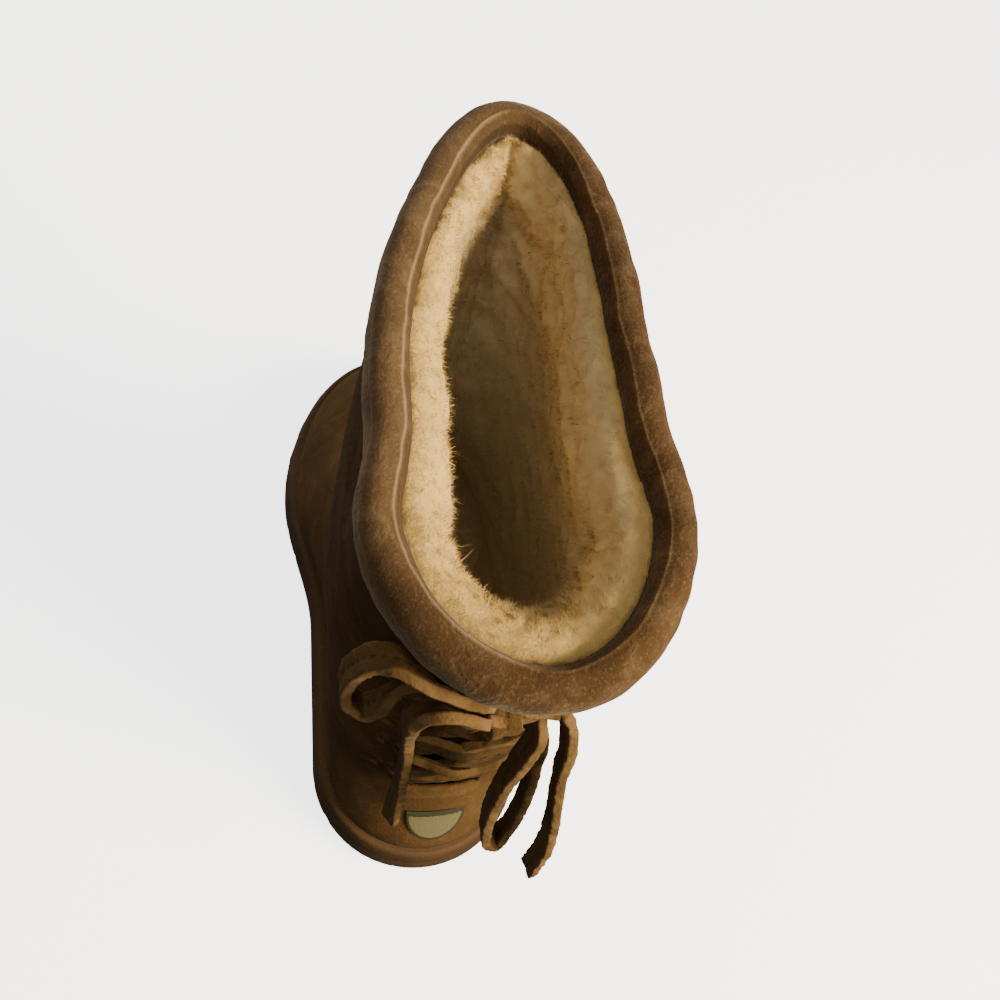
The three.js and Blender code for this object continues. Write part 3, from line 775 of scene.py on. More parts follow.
def fleece_deep(u, w):
    """How much painted shade greys the fleece: from 0 at the rim to nearly 1 in the dark, and sooner on the
    outer wall, which the collar shades.
    """
    outer_wall = hump(u - np.floor(u), OUTER_WALL, OUTER_WALL_HALF)
    return np.maximum(0.95 * ease(w, 2.4, 5.4), 0.95 * outer_wall * ease(w, 0.8, 2.4))


def fleece(u, w):
    """Face of the fleece: w goes from the binding, over the roll and down to the sole. The depth is measured
    from the skin. Lumps of two sizes are added along the skin's normal, and the two walls meet in a crease
    at the front."""
    t = fleece_height(u, w)
    swell = ease(w, 0, 1)
    depth = FLEECE_DEPTHS[0] + (through(FLEECE_DEPTHS, w) - FLEECE_DEPTHS[0]) * fleece_share(u)
    face = off_skin(u, t, -depth)
    crease = CREASE_DEPTH * hump(u, 0.5, CREASE_HALF) * ease(w, 1, 2.5) * (1 - ease(w, 5, 8))
    return off_skin(u, t, -depth - swell * lumpy(face, FLEECE_LUMPS) + crease)


def fleece_piece():
    """The fleece's face and, behind it, the backing that lies against the suede, closed into one body."""
    w = np.linspace(0, 1, FLEECE_ROWS)[:, None] ** 1.6 * FLEECE_LAST
    turn = np.arange(FLEECE_COLUMNS) / FLEECE_COLUMNS
    face = fleece(*np.broadcast_arrays(turn, w))
    heights = np.linspace(FLEECE_HEIGHTS[-1], FLEECE_HEIGHTS[0], BACKING_ROWS)[:, None]
    backing_turn, heights = np.broadcast_arrays(turn, heights)
    backing = off_skin(backing_turn, heights, np.full(heights.shape, -FLEECE_BACKING))
    points = np.concatenate([face, backing])
    faces = grid_faces(len(points), FLEECE_COLUMNS, close_rows=True, close_columns=True)[:, ::-1]
    deep = np.concatenate([fleece_deep(turn, w), np.ones(heights.shape)])
    values = {"tip": np.zeros(points.shape[:-1]), "deep": deep}
    return add_piece("wool_fleece", points, faces, WOOL, ["upper"], values)


fleece_piece()

# %% Fibres
FIBRE_BEND = 0.3
FIBRE_SHADING = 0.28  # share of the ribbon's own direction in its shading, the rest is the surface's


def fibre_ribbons(roots, outs, directions, lengths, width):
    """Ribbons of one quad and a tip that start at the roots along the directions and bend a little, flat
    side outwards: points, faces, how far each point is along its fibre, and the directions for shading."""
    count = len(roots)
    bend = unit(random.normal(size=(count, 3))) * FIBRE_BEND
    reach = lengths[:, None]
    middle = roots + (0.5 * directions + 0.25 * bend) * reach
    tip = roots + (directions + bend) * reach
    flat = unit(np.cross(directions, outs)) * 0.5 * width
    points = np.stack([roots - flat, roots + flat, middle + 0.8 * flat, middle - 0.8 * flat, tip], 1)
    first = 5 * np.arange(count)[:, None]
    faces = (first + [0, 1, 2, 3]).tolist() + (first + [3, 2, 4]).tolist()
    facing = unit(np.cross(flat, directions))
    shading = unit(mix(outs, facing, FIBRE_SHADING) + 0.12 * random.normal(size=(count, 3)))
    along = np.tile([0.0, 0.0, 0.5, 0.5, 1.0], count)
    return points.reshape(-1, 3), faces, along, np.repeat(shading, 5, 0)


def add_fibres(name, ribbons, finish, values):
    """Ribbons as a piece, shaded in the directions that came with them."""
    points, faces, _, shading = ribbons
    piece = add_piece(name, points, faces, finish, (), values)
    piece.data.normals_split_custom_set_from_vertices(shading.tolist())
    return piece


# %% Fibres of the fleece
FIBRE_WIDTH = 0.11
LEAN_SIZE, LEAN_SHARE, STRAY_SHARE = 4.5, 0.75, 0.35
LEAST_RISE = 0.2  # about the least share of a fibre's length that points out of the fleece
ROOT_DEPTH = 0.3


def fleece_fibres(name, count, w_low, w_high, length, upright):
    """Fibres at random places of the fleece. They lean with their neighbours and vary."""
    u = random.uniform(0, 1, count)
    w = random.uniform(w_low, w_high, count)
    root = fleece(u, w)
    across = fleece(u + 0.002, w) - root
    down = fleece(u, w + 0.02) - root
    out = unit(np.cross(across, down))
    inward = -skin_normal(u, fleece_height(u, w))
    out = out * np.sign((out * inward).sum(-1))[:, None]
    lean = uneven(root, LEAN_SIZE, 12)[:, None] * unit(across)
    lean = lean + uneven(root, LEAN_SIZE, 13)[:, None] * unit(down)
    direction = unit(upright * out + LEAN_SHARE * lean + STRAY_SHARE * random.normal(size=(count, 3)))
    direction = unit(direction + out * np.maximum(LEAST_RISE - (direction * out).sum(-1, keepdims=True), 0))
    lengths = length * random.uniform(0.6, 1.25, count)
    ribbons = fibre_ribbons(root - out * ROOT_DEPTH, out, direction, lengths, FIBRE_WIDTH)
    values = {"tip": ribbons[2], "deep": np.repeat(fleece_deep(u, w), 5)}
    return add_fibres(name, ribbons, WOOL, values)


fleece_fibres("wool_fibres_rim", 60000, 0.05, 4.0, 1.9, 0.32)
fleece_fibres("wool_fibres_wall", 56000, 3.9, 6.2, 1.9, 0.32)
fleece_fibres("wool_fibres_shaft", 40000, 6.1, 9.0, 2.4, 0.4)
fleece_fibres("wool_stray_hairs", 260, 0.6, 7.0, 4.4, 0.8)

# %% [markdown]
# ## The sole
#
# The outsole is moulded rubber with a flared edge, an arch, a little toe spring and cross lugs. Cutting
# each lug with a boolean would leave long thin triangles. So the side is a wall profile carried round the
# sole's outline, top and bottom are grids that run from side to side at the same place along the foot and
# share the wall's edge points, and the lugs are cut into the bottom's height by a formula.

# %% Outsole sizes
HEEL_HALF = 41.5
SOLE_TOE_SHIFT = -1.5
SOLE_TOE_ROUND = 0.3125
ARCH_FROM, ARCH_TO, ARCH_LIFT = 84.0, 132.0, 2.4
BEVEL_LENGTH, BEVEL_LIFT = 12.0, 1.6
GROOVE_WIDTH, GROOVE_DEPTH = 3.2, 2.6
GROOVES = np.array([22, 36, 50, 64, 138, 151, 164, 177, 190, 204, 218], float)
FINE_GROOVE_DEPTH, FINE_GROOVE_STEP, FINE_GROOVE_HALF = 0.7, 3.25, 34.0
SOLE_WALL = np.array([
    [0.0, 3.0], [0.04, 1.9], [0.1, 1.0], [0.2, 0.3], [0.3, 0.0], [0.45, 0.4], [0.56, 0.8],
    [0.6, 1.2], [0.64, 0.95], [0.75, 1.3], [0.88, 1.8], [0.95, 2.3], [0.985, 2.9], [1.0, 3.6],
])  # share of the height and inset of each ring of the wall
SOLE_COLUMNS = 560
SOLE_ACROSS = 40


def sole_ring(inset):
    """The sole's plan, drawn in by an inset, as a ring for outline()."""
    length = SOLE_LENGTH - 2 * inset
    return {
        "back_y": inset, "front_y": SOLE_LENGTH - inset, "front_x": SOLE_TOE_SHIFT,
        "rear_half": HEEL_HALF - inset, "inner_half": BALL_INNER - inset, "outer_half": BALL_OUTER - inset,
        "rear_round": (HEEL_HALF - inset) / length, "rear_power": 2.0,
        "front_round": SOLE_TOE_ROUND, "front_power": 2.0,
    }


def sole_bottom(x, y):
    """Underside: arch, heel bevel and toe spring, with deep grooves between the lugs and fine ones across
    them."""
    arch = ARCH_LIFT * np.sin(np.pi * np.clip((y - ARCH_FROM) / (ARCH_TO - ARCH_FROM), 0, 1)) ** 2
    bevel = BEVEL_LIFT * np.clip(1 - y / BEVEL_LENGTH, 0, 1) ** 2
    bend = y - 2.5 * np.cos(x / 12)
    away = np.abs(y[..., None] - GROOVES).min(-1)
    groove = GROOVE_DEPTH * (1 - ease(away, GROOVE_WIDTH / 2 - 0.5, GROOVE_WIDTH / 2 + 0.5))
    tread = (y < ARCH_FROM - 10) | (y > ARCH_TO + 2)
    wave = 0.5 + 0.5 * np.cos(2 * np.pi * bend / FINE_GROOVE_STEP)
    fine = FINE_GROOVE_DEPTH * wave**3 * (np.abs(x) < FINE_GROOVE_HALF) * tread
    return arch + bevel + toe_lift(y) + np.maximum(groove, fine)


print(len(GROOVES), "grooves under a sole", SOLE_LENGTH, "mm long")

# %% Outsole
RUBBER_DARK, RUBBER_MID, RUBBER_LIGHT = rgb(48, 31, 12), rgb(74, 50, 22), rgb(112, 82, 45)
RUBBER_DIRT = rgb(34, 22, 12)


def rubber():
    """Matte moulded rubber: cloudy browns, fine specks, scuffs that turn light, dirt in the grooves."""
    finish = Finish("sole_rubber")
    clouds = finish.noise(18, 3, 0.55, 0.5).step(0.3, 0.7)
    specks = finish.noise(0.7, 2, 0.6)
    scuffs = finish.noise(5, 4, 0.7, 1.5, (1.0, 1.0, 3.0)).step(0.58, 0.72)
    colour = finish.blend(clouds * 0.5 + specks * 0.5, RUBBER_DARK, RUBBER_MID)
    colour = finish.blend(scuffs * 0.5 + finish.value("worn_and_lit") * 0.6, colour, RUBBER_LIGHT)
    colour = finish.blend(finish.value("grime_and_shade"), colour, RUBBER_DIRT)
    roughness = 0.7 + 0.2 * specks
    return finish.done(colour, specks * 0.6 + scuffs * 0.4, 0.4, roughness, {"Specular IOR Level": 0.3})


def cap_faces(start, columns, between=None):
    """Cells that close a ring of points, numbered from start, from its inner to its outer side at the same
    place along the foot. Rows of points between the two sides may be given. The cells face down."""
    half = columns // 2
    side = np.arange(1, half)
    sides = [(start + columns - side)[None], (start + side)[None]]
    rows = sides if between is None else [sides[0], between, sides[1]]
    sheet = np.pad(np.concatenate(rows), ((0, 0), (1, 1)))
    sheet[:, 0] = start
    sheet[:, -1] = start + half
    cells = np.stack([sheet[:-1, :-1], sheet[:-1, 1:], sheet[1:, 1:], sheet[1:, :-1]], -1).reshape(-1, 4)
    return [list(dict.fromkeys(cell)) for cell in cells.tolist()]


def outsole_piece():
    """Wall rings from the floor to the ledge, closed by a bottom and a top that run from side to side."""
    turn = np.arange(SOLE_COLUMNS) / SOLE_COLUMNS
    rings = []
    for level, inset in SOLE_WALL:
        x, y, _ = outline(sole_ring(inset), turn)
        rings.append(np.stack([x, y, mix(sole_bottom(x, y), sole_top(y), level)], -1))
    wall = np.stack(rings)
    half = SOLE_COLUMNS // 2
    share = np.linspace(0, 1, SOLE_ACROSS + 2)[1:-1, None, None]
    bottom, top = (mix(ring[:half:-1], ring[1:half], share) for ring in (wall[0], wall[-1]))
    bottom[..., 2] = sole_bottom(bottom[..., 0], bottom[..., 1])
    top[..., 2] = sole_top(top[..., 1])
    points = np.concatenate([part.reshape(-1, 3) for part in (wall, bottom, top)])
    in_bottom = wall.size // 3 + np.arange(bottom.size // 3).reshape(SOLE_ACROSS, -1)
    in_top = in_bottom + in_bottom.size
    faces = grid_faces(len(wall), SOLE_COLUMNS, close_columns=True).tolist()
    faces += cap_faces(0, SOLE_COLUMNS, in_bottom)
    faces += [cell[::-1] for cell in cap_faces((len(wall) - 1) * SOLE_COLUMNS, SOLE_COLUMNS, in_top)]
    x, y, z = points.T
    lift = z - sole_bottom(x, y)
    values = {"worn_and_lit": 0.35 * ease(z - sole_top(y), -4, 0), "grime_and_shade": 0.55 * (1 - ease(lift + z, 1, 9))}
    return add_piece("outsole", points, faces, rubber(), ["outsole"], values)


outsole_piece()

# %% [markdown]
# ## The insole
#
# Inside lies a footbed of the same fleece. Little light gets down there, so fibres would not show and a
# lumpy pad with a rounded edge is enough. Its edge is tucked under the fleece, so that no crack shows
# beside it.

# %% Insole
INSOLE_THICK = 7.0
INSOLE_INSET, INSOLE_TOE_INSET = 16.0, 26.0
INSOLE_GAP = 0.3
INSOLE_TUCK = 4.0  # how far its edge reaches under the fleece
INSOLE_COLUMNS = 200
INSOLE_PROFILE = [
    (0.9, 0.0), (0.0, 0.05), (0.0, 0.6), (0.6, 0.85), (2.0, 1.0), (7.0, 1.0), (14.0, 1.0), (21.0, 1.0),
]  # inset and share of the thickness of each ring


def insole_piece():
    """Rings of the sole's outline drawn in from the edge to the middle over a rounded edge, closed at both
    ends."""
    turn = np.arange(INSOLE_COLUMNS) / INSOLE_COLUMNS
    rings = []
    for inset, level in INSOLE_PROFILE:
        ring = sole_ring(INSOLE_INSET - INSOLE_TUCK + inset)
        ring["front_y"] = SOLE_LENGTH - INSOLE_TOE_INSET - inset
        x, y, _ = outline(ring, turn)
        rings.append(np.stack([x, y, sole_top(y) + INSOLE_GAP + INSOLE_THICK * level], -1))
    points = np.stack(rings)
    points[2:, :, 2] += 0.5 * uneven(points[2:], 9, 14)
    faces = grid_faces(len(rings), INSOLE_COLUMNS, close_columns=True).tolist()
    faces += cap_faces(0, INSOLE_COLUMNS)
    faces += [cell[::-1] for cell in cap_faces((len(rings) - 1) * INSOLE_COLUMNS, INSOLE_COLUMNS)]
    # the whole pad painted grey as shade, with the faint painted glow
    values = {"tip": np.zeros(points.shape[:-1]), "deep": np.ones(points.shape[:-1])}
    return add_piece("insole", points, faces, WOOL, ["insole"], values)


insole_piece()

# %% [markdown]
# ## The lace
#
# The lace is a flat suede strip with a stitched groove along its middle and fuzzy cut edges. A curve with a
# bevel turns its broad side as it likes, so one square-cut section is carried along every route together
# with a direction for its width. The bars run from slit to slit across the gap, dipping into the suede at
# both ends, and where two cross, one is lifted over the other.

# %% Strips of lace
LACE_WIDTH, LACE_THICK = 7.0, 2.8
LACE_QUARTER = [
    [0.5, 0.0], [0.5, 0.24], [0.49, 0.4], [0.45, 0.49],
    [0.36, 0.5], [0.22, 0.49], [0.1, 0.47], [0.035, 0.42],
]
RAGGED_EDGE = ((0.13, 3, 0), (0.16, 13, 1))
UNEVEN_FACE = ((0.1, 5, 3),)
STITCH_STEP = 2.6


def lace_section():
    """Across and through places of the strip's outline, in its width and thickness: a quarter, mirrored
    twice."""
    quarter = np.array(LACE_QUARTER)
    half = np.concatenate([quarter, quarter[::-1] * [-1, 1]])
    return np.concatenate([half, half[1:-1][::-1] * [1, -1]])


def walked(points, power=1.0):
    """Distance walked up to each point of a row, with every step raised to a power."""
    return np.concatenate([[0], np.cumsum(np.linalg.norm(np.diff(points, axis=0), axis=1) ** power)])


def smooth_route(points, count):
    """Evenly spaced points on the centripetal Catmull-Rom curve through given points."""
    points = np.asarray(points, float)
    points = np.concatenate([2 * points[:1] - points[1:2], points, 2 * points[-1:] - points[-2:-1]])
    knots = walked(points, 0.5)
    place = np.linspace(knots[1], knots[-2], 40 * len(points))
    span = np.clip(np.searchsorted(knots, place, side="right") - 1, 1, len(knots) - 3)
    p = [points[span + step] for step in (-1, 0, 1, 2)]
    k = [knots[span + step][:, None] for step in (-1, 0, 1, 2)]
    place = place[:, None]

    def between(a, b, low, high):
        """The point between a, at the place low, and b, at the place high."""
        return ((high - place) * a + (place - low) * b) / (high - low)

    first, second, third = (between(p[i], p[i + 1], k[i], k[i + 1]) for i in range(3))
    curve = between(between(first, second, k[0], k[2]), between(second, third, k[1], k[3]), k[1], k[2])
    reached = walked(curve)
    even = np.linspace(0, reached[-1], count)
    return np.stack([np.interp(even, reached, curve[:, axis]) for axis in range(3)], 1), reached[-1]


def lace_strip(centres, wide, seed):
    """A flat strip along its centres: a square-cut section with a shallow groove along both broad faces and
    edges that are a little ragged. Returns points, faces and the numbers for its finish."""
    ahead = unit(np.gradient(centres, axis=0))
    wide = unit(wide - (wide * ahead).sum(-1, keepdims=True) * ahead)
    thick = np.cross(ahead, wide)
    across, depth = lace_section().T
    points = centres[:, None] + wide[:, None] * (across * LACE_WIDTH)[:, None]
    points = points + thick[:, None] * (depth * LACE_THICK)[:, None]
    ragged = lumpy(points, RAGGED_EDGE, seed)
    points = points + thick[:, None] * lumpy(points, UNEVEN_FACE, seed)[..., None]
    points = points + wide[:, None] * (ragged * np.sign(across) * (np.abs(across) > 0.3))[..., None]
    rows, columns = len(centres), len(across)
    faces = grid_faces(rows, columns, close_columns=True).tolist()
    faces.append(list(range(columns))[::-1])
    faces.append(list(range((rows - 1) * columns, rows * columns)))
    edge = np.broadcast_to(ease(np.abs(across), 0.44, 0.49), (rows, columns))
    groove = np.broadcast_to(hump(across, 0, 0.05), edge.shape)
    stitches = ease(np.cos(2 * np.pi * walked(centres) / STITCH_STEP), -0.1, 0.5)[:, None]
    # cut edges lighter: partly rubbed, partly painted highlight
    rubbed_and_lit = 0.2 + 0.4 * ease(uneven(points, 9, seed + 2), -0.8, 1.0)
    return points, faces, {"worn_and_lit": rubbed_and_lit * edge, "grime_and_shade": 0.75 * groove * stitches}


def joined(strips):
    """Several strips as one mesh's points, faces and numbers."""
    starts = np.cumsum([0] + [points.size // 3 for points, _, _ in strips])
    points = np.concatenate([points.reshape(-1, 3) for points, _, _ in strips])
    faces = []
    for start, (_, strip_faces, _) in zip(starts.tolist(), strips):
        faces += [[start + corner for corner in face] for face in strip_faces]
    values = {key: np.concatenate([strip[2][key].ravel() for strip in strips]) for key in strips[0][2]}
    return points, faces, values


print("the lace's section has", len(lace_section()), "points")

# %% Bars of the lacing
BAR_POINTS = 70
BAR_STAND = 1.7
OVER_LIFT = 2.5
TUCK = 3.2


def lace_bar(from_x, from_z, to_x, to_z, lift, seed):
    """A bar from slit to slit: it dips into the suede at both ends and is lifted at the middle where it lies
    over another."""
    place = np.linspace(0, 1, BAR_POINTS)
    x = mix(from_x, to_x, place)
    z = mix(from_z, to_z, place) + 1.2 * np.sin(np.pi * place) * np.sin(seed * 1.7)
    ends = 1 - ease(np.minimum(place, 1 - place), 0.0, 0.16)
    stand = BAR_STAND - TUCK * ends + lift * hump(place, 0.5, 0.2) + 0.3 * np.sin(seed + 5 * place)
    centres = off_back(x, z, stand)
    up_wall = unit(off_back(x, z + 1, 0.0) - off_back(x, z - 1, 0.0))
    out_wall = unit(off_back(x, z, 1.0) - off_back(x, z, 0.0))
    twist = 0.35 * np.sin(np.pi * place) * (0.6 + np.sin(2.3 * seed))
    return lace_strip(centres, up_wall + out_wall * twist[:, None], 20 + seed)


def lacing_piece():
    """A bar at the bottom, one at the top, and two crossed bars between each row of slits and the next."""
    bars = []
    reach = SLIT_X + 1.5
    for index, z in enumerate((SLIT_ROWS[0], SLIT_ROWS[-1])):
        bars.append(lace_bar(-reach, z, reach, z, 0.0, index))
    for index, (low, high) in enumerate(zip(SLIT_ROWS, SLIT_ROWS[1:])):
        bars.append(lace_bar(-reach, low + 1, reach, high - 1, 0.0, 10 + index))
        bars.append(lace_bar(reach, low + 1, -reach, high - 1, OVER_LIFT, 20 + index))
    points, faces, values = joined(bars)
    # painted shade over the bars, in patches
    values["grime_and_shade"] = np.maximum(values["grime_and_shade"], 0.3 + 0.3 * ease(uneven(points, 12, 40), -0.5, 0.8))
    return add_piece("lace_crossings", points, faces, LACE_SUEDE, ["lace_crossings"], values)


lacing_piece()

# %% [markdown]
# ## The bow
#
# The bow is the same strip: a loop to each side and two ends that hang. A simulation would let them fall
# their own way, so their routes are given points, the same as in the CAD model, and the cords lie
# where it has them. A strip wound round the middle
# makes the knot. It sits a little higher than the CAD model's knot, where it covers the cut ends of the
# strips.

# %% Loops and ends
LACE_ROUTES = {
    "lace_loop_left": {
        "points": [
            [-8.6, 3.9, 199.4], [-12, 3.9, 204.6], [-16.4, 4.3, 207.8], [-20.8, 5.8, 210.6],
            [-25.2, 8, 213.4], [-29.6, 10.9, 215], [-34, 13, 211.4], [-37.4, 14.2, 203],
            [-38.8, 14.5, 192.5], [-37.6, 14, 183], [-34.2, 12.8, 179.4], [-30.8, 12, 184],
            [-27.8, 11.6, 191.6], [-23.6, 10.7, 197.2], [-17, 9.2, 196.2], [-9.8, 6.8, 190.5],
        ],
        "widths": [
            [0, -0.25, 0.97], [0, -0.35, 0.94], [0, -0.97, 0.2], [0, -1, 0.1], [0, -1, 0.1],
            [0, -0.8, 0.5], [0, -0.2, 1], [0, 0.1, 1],
        ],
        "far_end": "knot",
    },
    "lace_loop_right": {
        "points": [
            [4, 6.2, 194.6], [4.4, 4.3, 191], [5.4, 3.4, 187.9], [6, 2.2, 183.3], [4.8, 0.2, 172.9],
            [3.1, -1.8, 160.9], [2.3, -3.9, 146.8], [4.1, -5.5, 124], [7.3, -6.3, 105],
            [12.5, -5.4, 93.5], [15.6, -2.4, 104.5], [15.2, 0, 126], [13.4, 3, 149.2],
            [10.8, 5.8, 167.4], [7.2, 7.2, 176.6], [3, 7.4, 181.5],
        ],
        "widths": [
            [0.37, -0.69, 0.61], [-0.05, -0.98, 0.18], [-0.05, -0.98, 0.18], [-0.05, -0.98, 0.18],
            [-0.05, -0.98, 0.18], [-0.05, -0.98, 0.18], [-0.05, -0.98, 0.18], [-0.05, -0.98, 0.18],
            [0.9, -0.2, 0.3],
        ],
        "far_end": "knot",
    },
    "lace_end_left": {
        "points": [
            [-11.8, -0.2, 205], [-16.4, 0.1, 209], [-20.4, 1, 208.4], [-23.6, 2.6, 202.8],
            [-24.8, 4.3, 194], [-24, 6.6, 182], [-21.8, 9.2, 163], [-19.4, 11.6, 139],
            [-17.6, 12.8, 111], [-16.8, 12.7, 89], [-16.8, 11.3, 70.5], [-16.4, 10.2, 57.5],
        ],
        "widths": [
            [0, -0.22, 0.97], [0, -1, 0], [0, -1, 0], [0.5, -0.8, 0],
        ],
        "far_end": "bare",
    },
    "lace_end_right": {
        "points": [
            [6.8, 3.6, 201], [8.8, 3.7, 197.6], [11, 3.6, 193], [13.1, 2.5, 187.4], [14.2, -0.2, 181.3],
            [15.3, -2.4, 168.8], [17.3, -6, 153.6], [20.2, -9.5, 134.4], [22.6, -12, 114.2],
            [24.4, -13.5, 84.6],
        ],
        "widths": [
            [0.37, -0.69, 0.61], [-0.1, -0.97, 0.16], [0, -0.97, 0.17], [0.1, -0.96, 0.18],
            [0.19, -0.96, 0.18],
        ],
        "far_end": "bare",
    },
}
CORD_POINTS = 220


def turned_widths(widths, count):
    """Directions of a strip's broad side at even places, mixed between the listed ones."""
    widths = np.array(widths, float)
    place = np.linspace(0, len(widths) - 1, count)
    before = np.minimum(np.floor(place).astype(int), len(widths) - 2)
    return mix(widths[before], widths[before + 1], (place - before)[:, None])


def free_lace(name, route, seed):
    """A strip along a route whose broad side turns through the listed directions. Returns its piece, the
    ring centres in the frame and its length in metres."""
    centres, length = smooth_route(route["points"], CORD_POINTS)
    points, faces, values = lace_strip(centres, turned_widths(route["widths"], CORD_POINTS), seed)
    piece = add_piece(name, points, faces, LACE_SUEDE, [name], values)
    return piece, to_frame(centres), length * MM


cords = {}
for index, (name, route) in enumerate(LACE_ROUTES.items()):
    cords[name] = free_lace(name, route, 60 + 3 * index)

# %% Knot
KNOT_HEIGHT, KNOT_STAND, KNOT_X = 201.0, 4.6, -5.2
KNOT_DEEP, KNOT_HIGH = 3.3, 5.0
KNOT_TURNS = 1.06
KNOT_JOINS = [
    ("lace_loop_left", 0, "lace_end_right", 0, [1.5, 0.5, 2.5]),
    ("lace_loop_left", -1, "lace_loop_right", -1, [1.0, 5.0, -12.0]),
    ("lace_end_left", 0, "lace_loop_right", 0, [1.0, -0.6, -0.5]),
]
KNOT_POINTS = 60


def knot_piece():
    """A strip wound once round the middle, upright, over short strips that carry each loop and end through
    it."""
    centre = off_back(KNOT_X, KNOT_HEIGHT, KNOT_STAND)
    angle = np.linspace(0, 2 * np.pi * KNOT_TURNS, KNOT_POINTS)
    turn = np.stack([0.2 * angle, KNOT_DEEP * np.cos(angle), KNOT_HIGH * np.sin(angle)], 1)
    strips = [lace_strip(centre + turn, np.tile([1.0, 0.1, 0.1], (KNOT_POINTS, 1)), 80)]
    for index, (first, first_end, second, second_end, aside) in enumerate(KNOT_JOINS):
        starts = LACE_ROUTES[first]["points"][first_end], LACE_ROUTES[second]["points"][second_end]
        widths = LACE_ROUTES[first]["widths"][first_end], LACE_ROUTES[second]["widths"][second_end]
        route, _ = smooth_route([starts[0], centre + aside, starts[1]], KNOT_POINTS)
        strips.append(lace_strip(route, turned_widths(widths, KNOT_POINTS), 83 + 3 * index))
    points, faces, values = joined(strips)
    return add_piece("lace_knot", points, faces, LACE_SUEDE, ["lace_knot"], values)


knot = knot_piece()
for name, (piece, path, length) in cords.items():
    [knot] if name == "lace_loop_left" else ()
    print(f"{name}: {length * 1000:.0f} mm of lace")

# %% [markdown]
# ## The heel patch
#
# A small half-round patch is sewn to the heel under the lacing. It is plain: cream cloth with a dark olive
# border and a band along its straight upper edge. A flat disc would stand off the round heel, so it is a
# half disc drawn on the back face in polar rings, with a round edge and a closed middle.

# %% Heel patch
PATCH_HALF, PATCH_TOP, PATCH_LOW = 10.9, 48.4, 30.6
PATCH_X = 1.4
PATCH_STAND, PATCH_THICK = 0.5, 0.4
PATCH_BAND = 3.0
PATCH_RINGS, PATCH_COLUMNS = 22, 64


def patch_finish():
    """Woven cloth: a fine weave in cream, and olive where the border number is 1."""
    finish = Finish("patch_cloth")
    weave = finish.noise(0.5, 1, 0.5, 0.0, (1.0, 1.0, 0.35))
    cream = finish.blend(weave, rgb(92, 83, 54), rgb(118, 108, 76))
    olive = finish.blend(weave, rgb(38, 37, 22), rgb(66, 63, 42))
    colour = finish.blend(finish.value("border").step(0.4, 0.6), cream, olive)
    return finish.done(colour, weave, 0.12, 0.85, {"Specular IOR Level": 0.2})


def patch_piece():
    """Polar rings from the middle of the straight edge outwards, over a rounded rim, laid on the back
    face."""
    share = np.concatenate([np.linspace(0, 0.97, PATCH_RINGS), [0.99, 1.0, 1.0]])[:, None]
    rim = [PATCH_STAND * 0.9, PATCH_STAND * 0.5, -PATCH_THICK]
    stand = np.concatenate([np.full(PATCH_RINGS, PATCH_STAND), rim])[:, None]
    angle = np.linspace(0, np.pi, PATCH_COLUMNS)
    x = PATCH_X + PATCH_HALF * share * np.cos(angle)
    z = PATCH_TOP - (PATCH_TOP - PATCH_LOW) * share * np.sin(angle) ** 0.8
    points = off_back(x, z, np.broadcast_to(stand, x.shape))
    border = np.maximum(ease(share + 0 * x, 0.9, 0.93), PATCH_TOP - z < PATCH_BAND)
    values = {"border": border}
    return add_piece("heel_patch", points, grid_faces(*x.shape), patch_finish(), (), values)


thicken(patch_piece(), PATCH_THICK)

# %% [markdown]
# ## Floor, light and camera
#
# The boot stands on a plain pale floor that glows evenly and sends no light back up. A soft warm light from
# the right, behind and above does most of the work, so the inner side of the boot falls into shade and the
# wool's left wall is bright. A weak light over the heel opens the shadows in the shaft, and a low one in
# front of the toe keeps the vamp from going black, as both would under a single sun. The camera stands
# above and behind the heel, where the picture was taken, turned so that the boot is in the middle.

# %% Floor
FLOOR_HALF = 3.0
FLOOR_GLOW = 3.0


def floor_piece():
    """A wide flat square on the floor's plane."""
    corners = np.array([[-1, -1, 0], [1, -1, 0], [1, 1, 0], [-1, 1, 0]]) * FLOOR_HALF
    mesh = bpy.data.meshes.new("floor")
    mesh.from_pydata(corners.tolist(), [], [[0, 1, 2, 3]])
    finish = Finish("pale_floor")
    cloud = finish.noise(400, 2, 0.5)
    colour = finish.blend(cloud, rgb(240, 239, 237), rgb(246, 245, 243))
    glow = {"Emission Color": (1.0, 1.0, 1.0, 1.0), "Emission Strength": FLOOR_GLOW}
    mesh.materials.append(finish.done(colour, roughness=0.8, constants=glow))
    floor = bpy.data.objects.new("floor", mesh)
    floor.visible_diffuse = False
    floor.visible_glossy = False
    bpy.context.scene.collection.objects.link(floor)
    print("floor", 2 * FLOOR_HALF, "m wide")


floor_piece()

# %% Light
AIM = Vector((0.0, -0.02, 0.12))


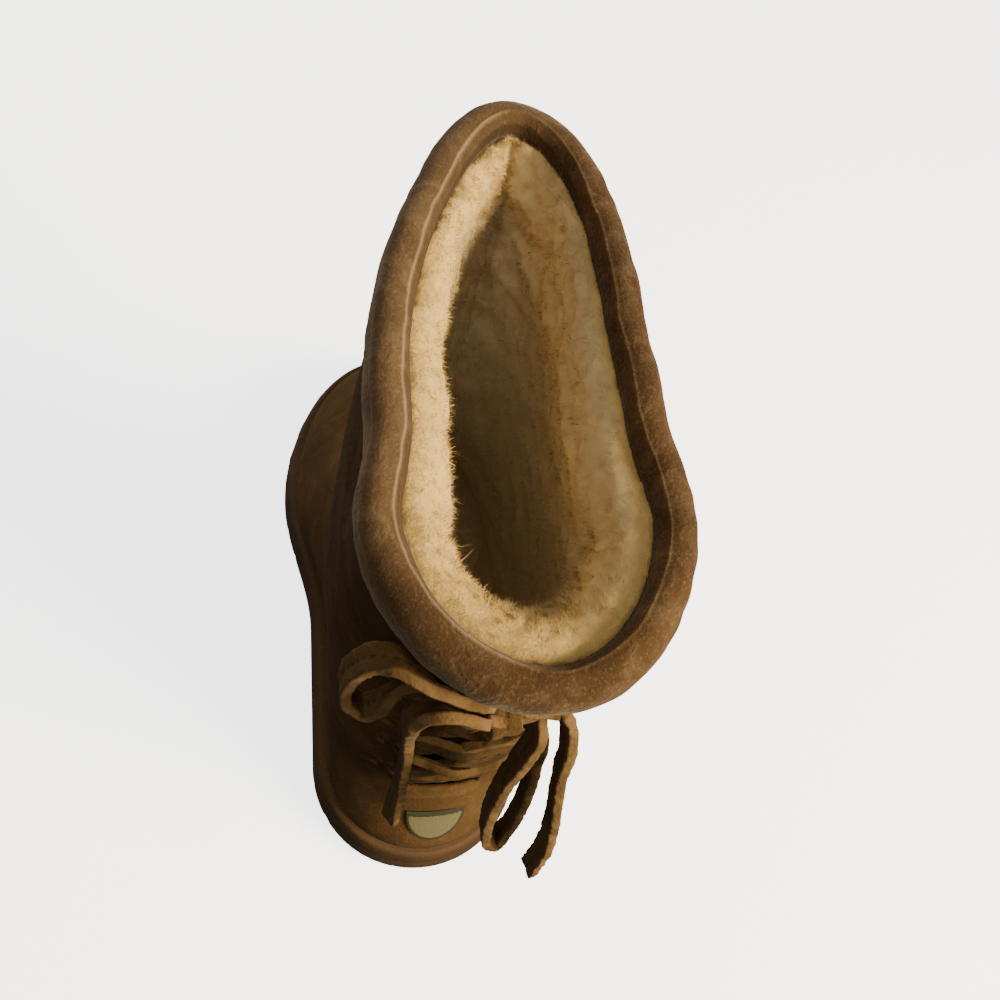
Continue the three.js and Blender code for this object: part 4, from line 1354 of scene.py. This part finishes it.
def add_light(name, place, size, power, colour):
    """A square soft light that looks at the middle of the boot."""
    data = bpy.data.lights.new(name, "AREA")
    data.shape = "SQUARE"
    data.size = size
    data.energy = power
    data.color = colour
    light = bpy.data.objects.new(name, data)
    light.location = place
    light.rotation_euler = (AIM - Vector(place)).to_track_quat("-Z", "Y").to_euler()
    bpy.context.scene.collection.objects.link(light)


add_light("key", (0.96, -0.7, 0.83), 0.6, 58, (1.0, 0.88, 0.67))
add_light("fill", (-0.2, -0.6, 1.35), 1.0, 6.8, (1.0, 0.98, 0.94))
add_light("toe", (-0.25, 1.5, 0.3), 0.8, 20, (1.0, 0.96, 0.9))
world = bpy.data.worlds.new("studio")
world.use_nodes = True
sky = world.node_tree.nodes["Background"].inputs
sky["Color"].default_value = (1.0, 0.95, 0.87, 1.0)
sky["Strength"].default_value = 0.17
bpy.context.scene.world = world
print("three lights and a dim sky")

# %% Camera
CAMERA_PLACE = (-51.6, -55.15, 398.93)
CAMERA_RIGHT = Vector((0.99931, -0.01955, 0.03166))
CAMERA_AHEAD = Vector((0.03721, 0.52514, -0.85021))
FOCAL_SHARE = 0.94  # focal length over the picture's width
SENSOR = 36.0
CENTRE_RIGHT, CENTRE_DOWN = 0.177, 0.036  # where the boot's middle lies in the first aim, in picture widths

camera_data = bpy.data.cameras.new("camera")
camera_data.sensor_width = SENSOR
camera_data.lens = FOCAL_SHARE * SENSOR
camera_data.clip_start = 0.01
down = CAMERA_AHEAD.cross(CAMERA_RIGHT)
ahead = (CAMERA_AHEAD * FOCAL_SHARE + CAMERA_RIGHT * CENTRE_RIGHT + down * CENTRE_DOWN).normalized()
right = (CAMERA_RIGHT - ahead * CAMERA_RIGHT.dot(ahead)).normalized()
camera = bpy.data.objects.new("camera", camera_data)
camera.matrix_world = Matrix.Translation(to_frame(CAMERA_PLACE)) @ Matrix(
    (right, right.cross(ahead), -ahead)
).transposed().to_4x4()
bpy.context.scene.collection.objects.link(camera)
bpy.context.scene.camera = camera
print("camera at", [round(v, 3) for v in camera.matrix_world.translation])
